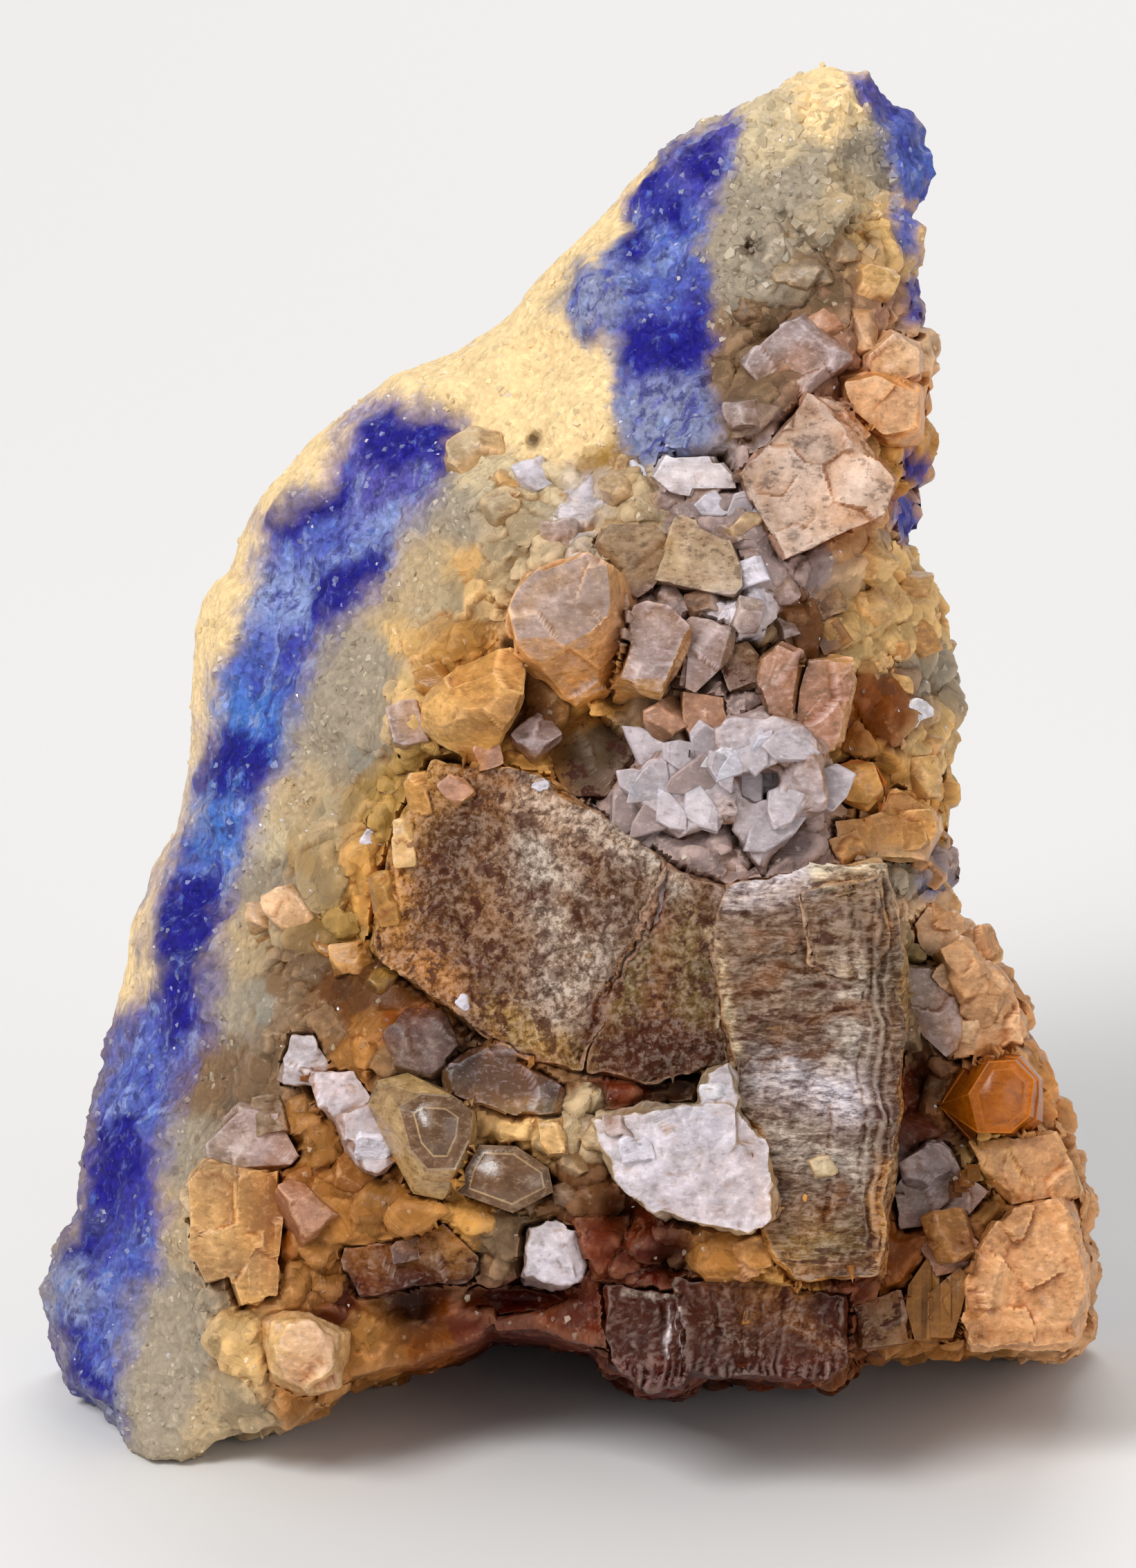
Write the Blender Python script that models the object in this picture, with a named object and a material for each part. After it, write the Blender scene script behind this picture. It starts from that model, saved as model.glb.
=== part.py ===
"""Rough lapis lazuli: one natural lump of rock, with mica crystals seated in the pockets of its front."""

import math
import random

import bmesh
import bpy
from mathutils import Matrix, Vector, geometry, noise

MM = 0.001

# Places on the stone are read off a full-size reference sheet that stands in the face plane:
# millimetres to the right and down from the sheet's top left corner, seen square on. Depths are
# millimetres in front of the face plane.
SHEET_CENTRE_X = 41.1
SHEET_CENTRE_Y = 56.7
FOOT_Y = 106.5
SIGHT = 650.0
CENTRE_HEIGHT = FOOT_Y - SHEET_CENTRE_Y

# How the stone stands
LEAN = math.radians(18)
FLOOR_TRIM = 1.0
STANCE_RIGHT = 0.23
STANCE_BACK = -15.88

# Gap between neighbouring pieces
GAP = 0.32

# The lump's skin: the grid of its points, how far in it rolls over to the rim, and its unevenness
SKIN_STEP = 2.7
SKIN_JITTER = 0.7
SKIN_MARGIN = 0.5 * SKIN_STEP
ROLL = 8.0
SKIN_NOISE = 0.8
BACK_NOISE = 1.6
NOISE_SCALE = 6.0
SEED = 7

# The rim's wall: its rows, how far it rounds in at the front and back, and its unevenness
WALL_ROWS = 4
RIM_ROUND = 1.1
WALL_NOISE = 0.5
WALL_SCALE = 4.0
WALL_DRIFT = 5.0

# How depth readings blend: each reading's flat top in square millimetres, and how fast it fades
READING_TOP = 4.0
READING_FADE = -1.7

# Tolerances: points on the rim, a cut's width and merged points, in millimetres, and faces in one plane
ON_RIM = 0.001
SAME_PLACE = 0.0001
CUT_WIDTH = 0.0001
MERGE = 0.002
FLAT = math.radians(1)

# Outline of the stone, clockwise from the tip
OUTLINE = [
    (59.7, 5.0), (60.5, 4.7), (62.9, 4.8), (63.7, 6.0), (64.2, 7.2), (64.7, 7.9), (65.5, 8.2),
    (66.2, 9.0), (66.6, 10.0), (67.2, 10.8), (67.6, 11.8), (67.5, 13.2), (66.8, 14.0), (65.8, 14.9),
    (65.8, 17.5), (65.8, 20.0), (65.9, 22.5), (66.2, 24.2), (66.7, 25.0), (66.8, 26.5), (66.6, 27.5),
    (66.8, 28.2), (66.7, 30.0), (66.5, 32.0), (66.1, 33.2), (66.0, 35.0), (65.8, 36.8), (65.4, 38.0),
    (65.2, 39.5), (66.2, 41.5), (67.2, 42.5), (67.8, 44.0), (68.4, 46.5), (68.5, 50.0), (68.6, 52.0),
    (68.5, 54.5), (68.1, 56.5), (67.9, 58.5), (68.2, 61.5), (68.3, 63.5), (68.0, 65.0), (68.5, 66.0),
    (69.5, 67.5), (69.8, 69.2), (71.0, 69.4), (72.0, 70.2), (73.0, 71.6), (73.8, 73.5), (73.9, 75.4),
    (75.5, 78.0), (76.3, 81.8), (77.6, 84.5), (78.1, 86.1), (77.9, 90.3), (78.6, 91.0), (78.4, 94.2),
    (78.0, 96.6), (77.1, 97.4), (70.1, 97.4), (68.5, 97.0), (66.9, 97.1), (65.0, 97.6), (62.9, 97.4),
    (61.2, 97.8), (61.1, 98.9), (60.0, 99.6), (58.8, 99.3), (57.2, 99.6), (54.2, 99.6), (52.9, 99.0),
    (50.8, 99.4), (49.7, 100.3), (46.7, 100.2), (44.3, 98.8), (43.0, 97.6), (40.0, 97.0), (35.4, 96.6),
    (34.2, 97.6), (32.6, 98.3), (30.4, 99.1), (28.0, 99.4), (24.8, 100.1), (24.0, 101.1), (21.7, 102.4),
    (19.6, 103.4), (17.4, 103.8), (15.3, 104.7), (14.0, 105.7), (12.5, 106.5), (10.2, 106.2), (9.0, 105.7),
    (7.9, 103.6), (6.9, 102.2), (5.1, 100.6), (4.4, 98.8), (3.9, 96.8), (3.2, 93.0), (3.8, 91.2),
    (4.2, 89.8), (5.4, 88.4), (6.1, 84.3), (6.4, 80.7), (7.6, 77.2), (8.2, 73.8), (8.9, 71.2),
    (9.2, 68.8), (9.7, 66.2), (10.5, 64.6), (11.0, 62.8), (12.0, 61.0), (12.8, 60.2), (13.1, 58.6),
    (13.6, 56.0), (13.8, 53.4), (13.8, 50.8), (14.0, 48.1), (14.2, 45.5), (14.7, 43.6), (15.4, 42.0),
    (16.5, 41.3), (17.3, 39.0), (18.0, 37.5), (19.6, 35.1), (23.0, 31.4), (26.2, 28.8), (28.3, 27.0),
    (30.9, 26.2), (32.5, 25.6), (36.6, 23.0), (38.2, 21.0), (41.9, 17.3), (44.6, 14.6), (45.6, 13.1),
    (48.2, 10.8), (50.8, 8.9), (55.6, 6.6), (57.5, 5.5),
]

# Depth of the front and the back of the lump's rim, at places along the outline
RIM_DEPTHS = [
    (61.5, 4.8, -3, -8), (66.0, 8.5, -6, -11), (67.5, 12.5, -7, -12), (65.8, 20.0, -3, -12),
    (66.7, 27.0, 0, -12), (65.6, 38.0, -4, -13), (68.5, 50.0, -3, -14), (68.2, 62.0, -4, -15),
    (70.0, 69.0, -2, -16), (76.0, 80.0, -2, -19), (78.3, 92.0, 1, -24), (77.0, 97.4, 3, -36),
    (66.0, 97.3, 6, -37), (55.0, 99.6, 10, -37), (47.0, 100.2, 10, -37), (36.0, 96.6, 6, -37),
    (28.0, 99.4, 5, -37), (20.0, 103.4, 4, -35), (12.5, 106.5, 2.5, -31), (8.0, 103.6, -1, -28),
    (4.0, 97.0, -6, -23), (3.8, 91.0, -8, -21), (6.4, 80.0, -11, -20), (9.2, 69.0, -12, -20),
    (13.6, 56.0, -13, -20), (14.7, 43.6, -12, -19), (23.0, 31.4, -9, -17), (32.5, 25.6, -7, -15),
    (42.0, 17.3, -6, -13), (50.8, 8.9, -4, -10),
]

# Depth of the lump's front, away from the rim
FRONT_DEPTHS = [
    (61.5, 8.0, -1), (58.0, 9.0, 0), (64.5, 12.5, -4), (59.0, 15.0, 4), (50.0, 12.0, -1),
    (46.5, 16.0, -2), (55.0, 20.0, 5), (62.5, 20.0, 3), (45.0, 22.5, 1), (49.0, 25.0, 3),
    (38.0, 26.0, -3), (32.5, 29.0, -4), (28.0, 32.0, -5), (42.5, 30.0, 4), (50.0, 31.0, 6),
    (57.5, 34.0, 8), (63.5, 30.0, 3), (24.0, 36.0, -7), (30.0, 35.0, -1), (35.0, 37.5, 5),
    (20.0, 42.0, -8), (26.0, 43.0, -2), (32.5, 45.0, 6), (42.5, 44.0, 10), (52.5, 45.0, 10),
    (62.5, 45.0, 5), (66.0, 48.0, 0), (17.0, 50.0, -9), (20.5, 52.5, -4), (25.0, 52.5, 3),
    (32.5, 52.5, 9), (42.5, 54.0, 8), (52.5, 54.0, 11), (62.5, 53.0, 5), (66.0, 56.0, 1),
    (14.5, 63.0, -9), (18.0, 62.5, -3), (24.0, 62.5, 5), (32.5, 62.5, 10), (42.5, 65.0, 11),
    (52.5, 64.5, 11), (60.0, 67.5, 12), (66.0, 65.0, 2), (11.0, 75.0, -8), (14.5, 75.0, -1),
    (20.0, 75.0, 6), (27.5, 76.5, 9), (40.0, 77.5, 11), (47.5, 78.0, 9), (57.5, 80.0, 13),
    (66.5, 79.0, 2), (72.5, 80.0, 0), (7.5, 88.0, -6), (11.0, 88.0, 0), (16.5, 89.0, 6),
    (22.5, 87.5, 7), (32.5, 88.0, 9), (42.5, 87.5, 10), (50.0, 86.0, 12), (57.5, 90.0, 12),
    (67.5, 88.0, 4), (74.5, 90.0, 2), (6.5, 97.5, -4), (10.0, 100.0, 1), (14.0, 102.0, 4),
    (20.0, 98.0, 7), (30.0, 95.0, 4), (39.0, 94.5, 6), (49.0, 96.5, 10), (57.5, 96.5, 10),
    (65.0, 94.5, 5), (73.0, 94.0, 5),
]

# Depth of the lump's back, away from the rim
BACK_DEPTHS = [
    (61.0, 10.0, -11), (51.0, 20.0, -15), (62.0, 30.0, -17), (42.0, 32.0, -19), (28.0, 38.0, -20),
    (52.0, 48.0, -23), (22.0, 55.0, -24), (38.0, 62.0, -29), (62.0, 62.0, -24), (18.0, 75.0, -27),
    (40.0, 80.0, -35), (66.0, 82.0, -29), (12.0, 92.0, -26), (30.0, 92.0, -36), (50.0, 92.0, -38),
    (70.0, 92.0, -32),
]

# Planes along which the back broke off: a point on each, then its outward way to the right, forward and up
BREAKS = [
    ((56.0, 48.0, -22.5), (0.30, -0.94, 0.10)),
    ((17.0, 68.0, -25.0), (-0.60, -0.80, 0.02)),
    ((72.0, 84.0, -26.0), (0.62, -0.76, 0.15)),
    ((36.0, 99.0, -37.0), (-0.10, -0.75, -0.65)),
]

# Hollows of the front: centre, then half its width, height and depth
HOLLOWS = [
    ((63.3, 51.3, 6.0), (2.2, 3.6, 3.2)),
    ((66.4, 78.5, 4.5), (1.9, 4.2, 4.5)),
    ((54.7, 56.9, 13.5), (1.2, 0.7, 2.0)),
    ((45.3, 88.3, 12.0), (2.6, 1.8, 4.0)),
    ((47.6, 91.6, 11.5), (3.0, 1.1, 3.6)),
    ((37.0, 94.0, 7.0), (4.6, 1.6, 4.2)),
]


def face(points, depth, tilt=(0.0, 0.0)):
    """Outline with a depth at each point: a flat face that gains tilt mm per mm to the right and down."""
    middle_x = sum(x for x, y in points) / len(points)
    middle_y = sum(y for x, y in points) / len(points)
    return [(x, y, depth + tilt[0] * (x - middle_x) + tilt[1] * (y - middle_y)) for x, y in points]


def block(front, length=6.0, spread=1.03, shift=(0.0, 0.0)):
    """Corners of a crystal: its front face and its foot, which is a little wider and may lie to one side."""
    middle_x = sum(x for x, y, depth in front) / len(front)
    middle_y = sum(y for x, y, depth in front) / len(front)
    foot_depth = min(depth for x, y, depth in front) - length
    foot = [
        (
            middle_x + spread * (x - middle_x) + shift[0],
            middle_y + spread * (y - middle_y) + shift[1],
            foot_depth,
        )
        for x, y, depth in front
    ]
    return front + foot


# The crystals in order of seating: each is trimmed by those before it where they meet
CRYSTALS = [
    ("knob_crystal", "golden_mica", [
        face([(37.2, 44.6), (38.3, 42.1), (40.1, 41.3), (42.5, 40.4), (43.6, 41.1), (43.7, 43.2),
              (43.2, 44.9), (40.0, 46.4), (37.6, 46.2)], 17.0, (0.05, -0.08))
        + face([(37.1, 45.0), (38.1, 42.0), (40.1, 41.2), (42.6, 40.2), (44.8, 41.8), (46.0, 43.9),
                (45.4, 47.4), (43.4, 50.1), (41.9, 51.0), (37.8, 47.6)], 11.5)
        + face([(38.0, 43.5), (41.0, 42.0), (45.0, 44.0), (44.0, 49.0), (39.0, 47.0)], 5.5),
    ]),
    ("white_patch", "white_calcite", [
        block(face([(43.3, 81.0), (46.5, 80.3), (52.0, 80.0), (53.3, 80.6), (54.8, 82.0), (55.3, 85.0),
                    (55.8, 87.5), (54.5, 88.4), (50.0, 88.4), (48.0, 87.5),
                    (45.5, 85.8)], 17.0, (0.10, 0.05)), 7.0),
        block(face([(50.3, 80.6), (51.0, 77.6), (52.8, 77.2), (53.3, 80.5), (52.6, 82.5)], 16.6), 7.0),
    ]),
    ("right_book", "brown_mica", [
        block(face([(52.6, 64.3), (59.5, 64.2), (63.7, 62.5), (64.3, 66.0), (65.2, 70.0), (65.2, 75.0),
                    (64.7, 80.0), (63.7, 85.0), (63.6, 91.9), (57.5, 92.4), (55.5, 90.0), (53.3, 80.0),
                    (52.5, 70.0), (51.9, 67.3)], 15.6, (0.02, 0.03)), 7.0, 1.0),
        block(face([(58.0, 65.0), (63.4, 63.4), (64.0, 68.0), (62.6, 70.5), (58.5, 70.0)], 16.4), 4.0, 1.0),
    ]),
    ("left_book", "brown_mica", [
        block(face([(31.3, 55.3), (36.0, 55.8), (40.0, 56.8), (43.5, 59.3), (47.9, 62.3), (47.4, 65.3),
                    (44.6, 71.0), (41.8, 77.1), (38.5, 76.4), (35.0, 74.8), (30.0, 70.3), (26.9, 68.3),
                    (28.0, 63.5), (29.5, 59.0)], 12.8, (0.10, 0.02)), 6.0, 1.02),
    ]),
    ("middle_book", "brown_mica", [
        block(face([(48.3, 62.6), (52.3, 64.4), (51.5, 67.3), (52.1, 71.0), (52.8, 76.6), (50.0, 77.6),
                    (47.5, 77.8), (42.5, 77.2), (45.0, 70.8), (47.8, 65.3)], 14.0, (0.04, -0.06)), 6.0, 1.0),
    ]),
    ("pale_block", "lilac_mica", [
        block(face([(46.2, 43.9), (48.7, 44.2), (49.6, 45.4), (48.8, 47.5), (47.8, 49.5), (46.6, 49.3),
                    (44.9, 49.0), (45.7, 46.8)], 14.8, (0.05, 0.10)), 4.5, 1.0, (-0.3, 1.6)),
    ]),
    ("lilac_block", "lilac_mica", [
        block(face([(49.8, 44.9), (50.8, 45.3), (52.9, 45.5), (52.5, 47.3), (51.3, 48.9), (50.6, 49.9),
                    (48.9, 49.4)], 13.2, (0.0, 0.05)), 4.5),
    ]),
    ("ridged_block", "brown_mica", [
        block(face([(52.4, 47.1), (54.0, 46.7), (54.7, 47.5), (54.8, 49.1), (52.8, 49.9),
                    (52.3, 48.4)], 12.4), 4.0),
    ]),
    ("white_plates", "white_calcite", [
        block(face([(52.0, 53.0), (54.0, 51.9), (55.3, 51.7), (57.5, 52.9), (59.4, 54.2), (57.7, 54.8),
                    (55.5, 55.6), (53.0, 56.2), (52.2, 55.7)], 15.0, (0.0, 0.10)), 5.0),
        block(face([(45.6, 56.2), (48.0, 54.5), (50.0, 54.8), (53.0, 55.8), (53.2, 57.6), (52.0, 59.4),
                    (49.2, 60.2), (47.0, 58.8)], 13.4, (0.05, 0.05)), 5.0),
        block(face([(56.0, 54.6), (59.5, 55.0), (60.0, 57.5), (59.0, 58.6), (56.4, 59.2),
                    (56.0, 57.4)], 13.8), 5.0),
        block(face([(53.0, 57.6), (54.4, 58.0), (56.6, 57.9), (56.8, 59.6), (55.0, 62.7), (54.0, 61.3),
                    (53.0, 59.4)], 13.6, (0.0, -0.06)), 5.0),
    ]),
    ("pentagon_crystal", "golden_mica", [
        block(face([(49.4, 50.6), (49.8, 50.1), (52.0, 50.8), (52.2, 52.4), (51.3, 53.7), (50.3, 53.9),
                    (49.4, 52.4)], 13.0), 4.0),
    ]),
    ("dark_crystal", "brown_mica", [
        block(face([(40.3, 53.2), (42.4, 51.4), (46.0, 54.5), (43.2, 57.8),
                    (40.4, 56.2)], 9.6, (0.05, 0.25)), 4.0),
    ]),
    ("golden_prism", "golden_mica", [
        [(36.6, 47.2, 12.5), (37.9, 47.6, 12.5), (37.7, 49.6, 14.0), (34.7, 51.2, 15.4), (36.8, 51.8, 15.2),
         (32.9, 48.8, 12.5), (31.2, 50.7, 12.5), (30.9, 52.5, 12.2), (31.7, 53.3, 12.0), (33.9, 54.8, 11.6),
         (34.7, 54.8, 11.6), (35.7, 53.9, 11.8), (37.2, 51.5, 13.0),
         (37.0, 48.5, 6.5), (37.0, 51.5, 6.5), (34.5, 54.4, 6.5), (31.8, 53.0, 6.5), (31.6, 50.8, 6.5),
         (34.0, 48.8, 6.5)],
    ]),
    ("brown_block", "brown_mica", [
        block(face([(43.5, 39.3), (44.2, 38.4), (47.2, 38.4), (48.2, 39.6), (47.2, 42.1), (46.0, 42.9),
                    (44.9, 41.2)], 12.0, (0.0, 0.12)), 4.5),
    ]),
    ("speckled_block", "brown_mica", [
        block(face([(47.6, 41.8), (48.8, 38.6), (49.1, 37.6), (52.6, 39.2), (53.3, 40.3), (53.3, 42.6),
                    (50.1, 42.4)], 12.6, (0.02, 0.12)), 4.5, 1.0, (0.3, 1.2)),
    ]),
    ("square_plate", "brown_mica", [
        block(face([(53.9, 34.6), (58.5, 29.0), (62.2, 32.2), (64.3, 34.9), (63.6, 37.1), (56.9, 40.1),
                    (55.0, 36.8)], 11.2, (-0.06, 0.06)), 6.0, 1.02),
        block(face([(58.4, 28.9), (60.4, 29.2), (62.6, 31.6), (61.0, 33.0), (57.6, 30.8)], 9.8), 4.5),
    ]),
    ("orange_crystal", "golden_mica", [
        face([(61.2, 27.8), (63.2, 27.3), (66.0, 28.6), (65.8, 31.0), (63.8, 31.3),
              (61.8, 29.6)], 8.2, (-0.35, 0.0))
        + face([(60.9, 27.4), (63.0, 26.9), (66.6, 28.2), (66.4, 31.8), (64.6, 32.0),
                (61.4, 30.2)], 4.0, (-0.3, 0.0))
        + face([(61.4, 27.8), (65.8, 28.4), (65.6, 31.4), (62.0, 30.0)], -1.5),
    ]),
    ("round_pale_crystal", "lilac_mica", [
        face([(63.2, 27.0), (63.3, 25.6), (64.6, 24.6), (66.1, 25.4), (66.1, 26.8),
              (64.8, 27.3)], 6.4, (-0.30, 0.0))
        + face([(62.6, 27.2), (62.6, 25.4), (64.3, 24.1), (66.5, 25.1), (66.6, 27.0),
                (65.0, 27.8)], 3.2, (-0.3, 0.0))
        + face([(63.0, 27.2), (64.4, 24.5), (66.0, 25.4), (66.0, 27.2)], -1.5),
    ]),
    ("white_slab", "white_calcite", [
        block(face([(47.6, 34.5), (48.1, 33.3), (52.1, 33.3), (52.8, 34.1), (53.0, 35.1), (50.1, 35.4),
                    (48.9, 35.6)], 9.6, (0.0, 0.15)), 4.0),
    ]),
    ("rose_prism", "lilac_mica", [
        block(face([(55.1, 49.5), (55.3, 47.8), (56.5, 46.9), (57.9, 47.5), (57.5, 50.3), (56.9, 52.0),
                    (55.8, 51.5)], 13.0, (0.10, 0.08)), 4.5),
    ]),
    ("rose_block", "lilac_mica", [
        block(face([(58.1, 49.9), (58.7, 47.9), (61.4, 48.1), (61.3, 50.0), (60.4, 53.8), (59.6, 53.9),
                    (57.9, 52.4)], 12.2, (-0.08, 0.05)), 4.5),
    ]),
    ("lilac_slab", "lilac_mica", [
        block(face([(32.6, 77.4), (33.5, 76.5), (35.0, 75.9), (36.5, 75.9), (38.3, 77.4), (40.5, 78.8),
                    (40.2, 80.3), (37.3, 80.6), (35.0, 79.6), (32.8, 78.8)], 13.0, (0.0, 0.10)), 4.5),
    ]),
    ("clear_plate_left", "clear_mica", [
        face([(29.0, 80.1), (30.5, 79.3), (32.5, 79.5), (33.9, 80.5), (33.7, 82.4), (32.8, 84.4),
              (31.0, 84.4),
              (29.8, 83.0)], 15.2, (0.04, 0.04))
        + face([(26.9, 79.8), (27.5, 78.4), (29.5, 77.9), (32.0, 79.0), (34.1, 80.4), (34.3, 82.0),
                (33.3, 85.2),
                (32.0, 86.6), (30.0, 86.2), (28.5, 83.0)], 12.6)
        + face([(27.4, 79.8), (29.5, 78.4), (33.9, 80.8), (32.0, 86.2), (30.0, 85.8)], 8.6),
    ]),
    ("clear_plate_right", "clear_mica", [
        block(face([(33.5, 86.2), (33.9, 84.6), (34.8, 83.0), (37.3, 83.1), (39.5, 84.6), (39.8, 86.1),
                    (37.1, 87.5)], 14.2, (0.02, 0.08)), 4.5, 1.02),
    ]),
    ("chain_blocks", "white_calcite", [
        block(face([(20.8, 76.5), (21.3, 75.1), (22.6, 75.1), (23.1, 76.5), (23.4, 77.4), (22.5, 78.0),
                    (20.7, 78.0)], 9.6), 4.0),
        block(face([(22.0, 77.6), (25.2, 77.8), (26.4, 79.3), (26.0, 80.7), (25.0, 81.0),
                    (23.3, 79.5)], 10.8), 4.5),
        block(face([(24.8, 80.7), (26.6, 80.2), (27.6, 81.6), (28.4, 83.8), (27.5, 84.6), (26.4, 84.2),
                    (25.4, 83.0)], 12.0), 5.0),
    ]),
    ("grey_block", "lilac_mica", [
        block(face([(15.2, 82.9), (16.0, 81.9), (17.5, 80.2), (19.8, 80.4), (21.0, 82.5), (21.6, 83.5),
                    (19.8, 84.4), (17.5, 84.1), (15.4, 83.7)], 8.6, (0.05, 0.10)), 4.5),
    ]),
    ("yellow_prisms", "golden_mica", [
        block(face([(13.9, 85.6), (15.0, 84.2), (17.7, 84.5), (17.8, 90.0), (16.3, 92.2), (15.0, 92.4),
                    (14.0, 90.0)], 9.6, (0.12, 0.0)), 5.0),
        block(face([(17.4, 84.8), (20.0, 85.0), (20.1, 87.0), (19.8, 93.4), (17.5, 94.2), (17.0, 92.6),
                    (17.3, 89.5)], 10.2, (-0.10, 0.0)), 5.0),
    ]),
    ("white_rough_crystal", "white_calcite", [
        face([(20.4, 96.2), (22.3, 95.8), (23.8, 97.0), (23.6, 99.0), (21.6, 99.8),
              (20.2, 98.2)], 11.4, (0.0, 0.05))
        + face([(19.4, 95.4), (21.6, 94.9), (23.3, 95.5), (24.9, 96.4), (24.8, 98.8), (24.0, 100.2),
                (22.0, 100.9),
                (20.1, 99.8), (19.5, 97.5)], 8.6)
        + face([(20.0, 95.8), (24.4, 96.6), (22.0, 100.2), (20.2, 98.8)], 4.0),
    ]),
    ("ridged_book", "brown_mica", [
        block(face([(25.1, 90.6), (30.3, 89.9), (31.0, 92.2), (30.0, 92.6), (28.0, 93.2), (26.1, 93.4),
                    (25.5, 92.0)], 10.2, (0.0, 0.10)), 5.0),
        block(face([(29.8, 90.0), (32.0, 88.7), (34.4, 91.0), (34.0, 92.2),
                    (30.8, 92.4)], 10.6, (0.0, 0.08)), 5.0),
    ]),
    ("white_knob", "white_calcite", [
        block(face([(38.1, 88.9), (40.0, 88.5), (41.5, 89.5), (42.1, 91.4), (41.5, 92.5), (39.5, 93.0),
                    (37.9, 92.4)], 12.0, (0.08, -0.05)), 5.0),
    ]),
    ("bottom_book", "brown_mica", [
        block(face([(43.8, 93.1), (49.5, 93.8), (50.3, 99.0), (49.6, 100.1), (46.8, 100.0), (44.5, 98.7)],
                   12.4, (0.0, 0.10)), 7.0, 1.0),
        block(face([(49.2, 92.8), (54.8, 92.8), (61.0, 94.0), (61.0, 98.8), (60.0, 99.4), (53.0, 98.9),
                    (49.9, 99.2)], 13.2, (0.0, 0.06)), 7.0, 1.0),
    ]),
    ("grey_wedge", "lilac_mica", [
        block(face([(65.6, 69.6), (67.0, 69.9), (69.3, 73.3), (68.8, 76.3), (67.0, 74.6), (65.8, 72.4)],
                   5.4, (-0.30, 0.10)), 4.5),
    ]),
    ("peach_block", "golden_mica", [
        block(face([(67.6, 70.3), (69.4, 69.6), (71.9, 70.4), (72.8, 71.7), (73.5, 73.5), (73.6, 75.1),
                    (71.3, 76.0), (69.4, 76.5)], 4.6, (-0.20, 0.0)), 7.0),
    ]),
    ("cream_nugget", "white_calcite", [
        block(face([(66.3, 66.9), (67.2, 65.9), (68.2, 66.6), (69.2, 68.1), (68.9, 69.1), (67.4, 69.2),
                    (66.6, 68.3)], 2.4, (-0.20, 0.0)), 5.0),
    ]),
    ("amber_window", "clear_amber", [
        face([(70.2, 79.2), (71.6, 77.0), (73.3, 76.9), (74.6, 78.2), (74.3, 80.6), (73.0, 81.7),
              (70.8, 81.7)],
             6.4, (-0.12, 0.0))
        + face([(68.1, 79.9), (69.4, 77.6), (71.5, 76.4), (73.8, 76.6), (75.2, 78.2), (75.2, 81.0),
                (74.0, 82.0),
                (70.1, 82.3)], 3.0, (-0.15, 0.0))
        + face([(68.8, 79.9), (71.5, 77.0), (74.8, 78.6), (74.0, 81.6), (70.3, 82.0)], -3.0),
    ]),
    ("right_shoulder", "golden_mica", [
        block(face([(70.3, 82.9), (74.0, 82.6), (76.0, 82.2), (77.3, 84.7), (77.7, 86.0), (73.5, 87.0),
                    (71.7, 85.2)], 4.8, (-0.25, 0.10)), 7.0),
    ]),
    ("lower_right_block", "golden_mica", [
        block(face([(71.0, 90.0), (73.5, 87.6), (76.9, 86.8), (77.6, 90.3), (78.2, 91.3), (78.1, 94.2),
                    (77.7, 96.3), (76.9, 97.0), (70.4, 97.1), (69.8, 95.3),
                    (70.2, 92.5)], 8.0, (-0.30, 0.05)), 9.0),
    ]),
    ("lilac_prisms", "lilac_mica", [
        block(face([(64.9, 86.0), (66.9, 83.0), (68.3, 83.0), (69.2, 85.0), (68.2, 86.8), (66.5, 88.4),
                    (65.2, 88.6)], 7.6, (-0.15, 0.0)), 5.0),
        block(face([(67.4, 86.7), (69.4, 85.5), (71.3, 86.0), (70.0, 87.4), (67.9, 88.2)], 6.8), 4.5),
    ]),
    ("rose_corner", "lilac_mica", [
        block(face([(67.1, 90.2), (69.3, 89.1), (70.3, 90.0), (69.4, 91.5), (67.9, 92.1)], 8.2), 4.5),
    ]),
    ("amber_blades", "clear_amber", [
        block(face([(65.9, 93.0), (67.1, 91.2), (67.8, 91.9), (67.7, 95.0), (67.3, 96.8), (66.3, 96.6),
                    (65.7, 94.5)], 8.0), 5.0),
        block(face([(67.4, 93.6), (69.4, 91.9), (69.9, 92.4), (69.3, 95.0), (68.8, 96.6),
                    (67.2, 96.6)], 8.6), 5.0),
    ]),
    ("brown_wedge", "brown_mica", [
        block(face([(62.0, 94.7), (64.9, 93.6), (65.5, 96.9), (62.6, 97.2)], 8.4, (-0.10, 0.0)), 5.0),
    ]),
    ("golden_layers", "golden_mica", [
        block(face([(60.5, 59.6), (67.1, 59.0), (67.5, 60.8), (66.9, 61.9),
                    (60.7, 61.7)], 7.4, (-0.5, 0.0)), 5.0),
        block(face([(62.2, 58.4), (65.0, 57.4), (67.3, 58.6), (67.2, 59.6),
                    (62.2, 60.2)], 6.2, (-0.5, 0.0)), 4.5),
    ]),
    ("amber_bump", "clear_amber", [
        block(face([(60.9, 55.5), (62.0, 55.2), (63.1, 55.5), (63.8, 56.6), (63.4, 57.6),
                    (61.6, 57.8)], 8.8), 4.5),
    ]),
]

# Colour, roughness, metallic
FINISHES = {
    "lapis": ((0.16, 0.17, 0.55, 1), 0.6, 0.0),
    "brown_mica": ((0.36, 0.26, 0.19, 1), 0.35, 0.0),
    "golden_mica": ((0.68, 0.44, 0.18, 1), 0.3, 0.0),
    "lilac_mica": ((0.58, 0.48, 0.46, 1), 0.3, 0.0),
    "clear_mica": ((0.62, 0.52, 0.38, 1), 0.12, 0.0),
    "clear_amber": ((0.70, 0.36, 0.06, 1), 0.15, 0.0),
    "white_calcite": ((0.80, 0.77, 0.76, 1), 0.4, 0.0),
}


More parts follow.
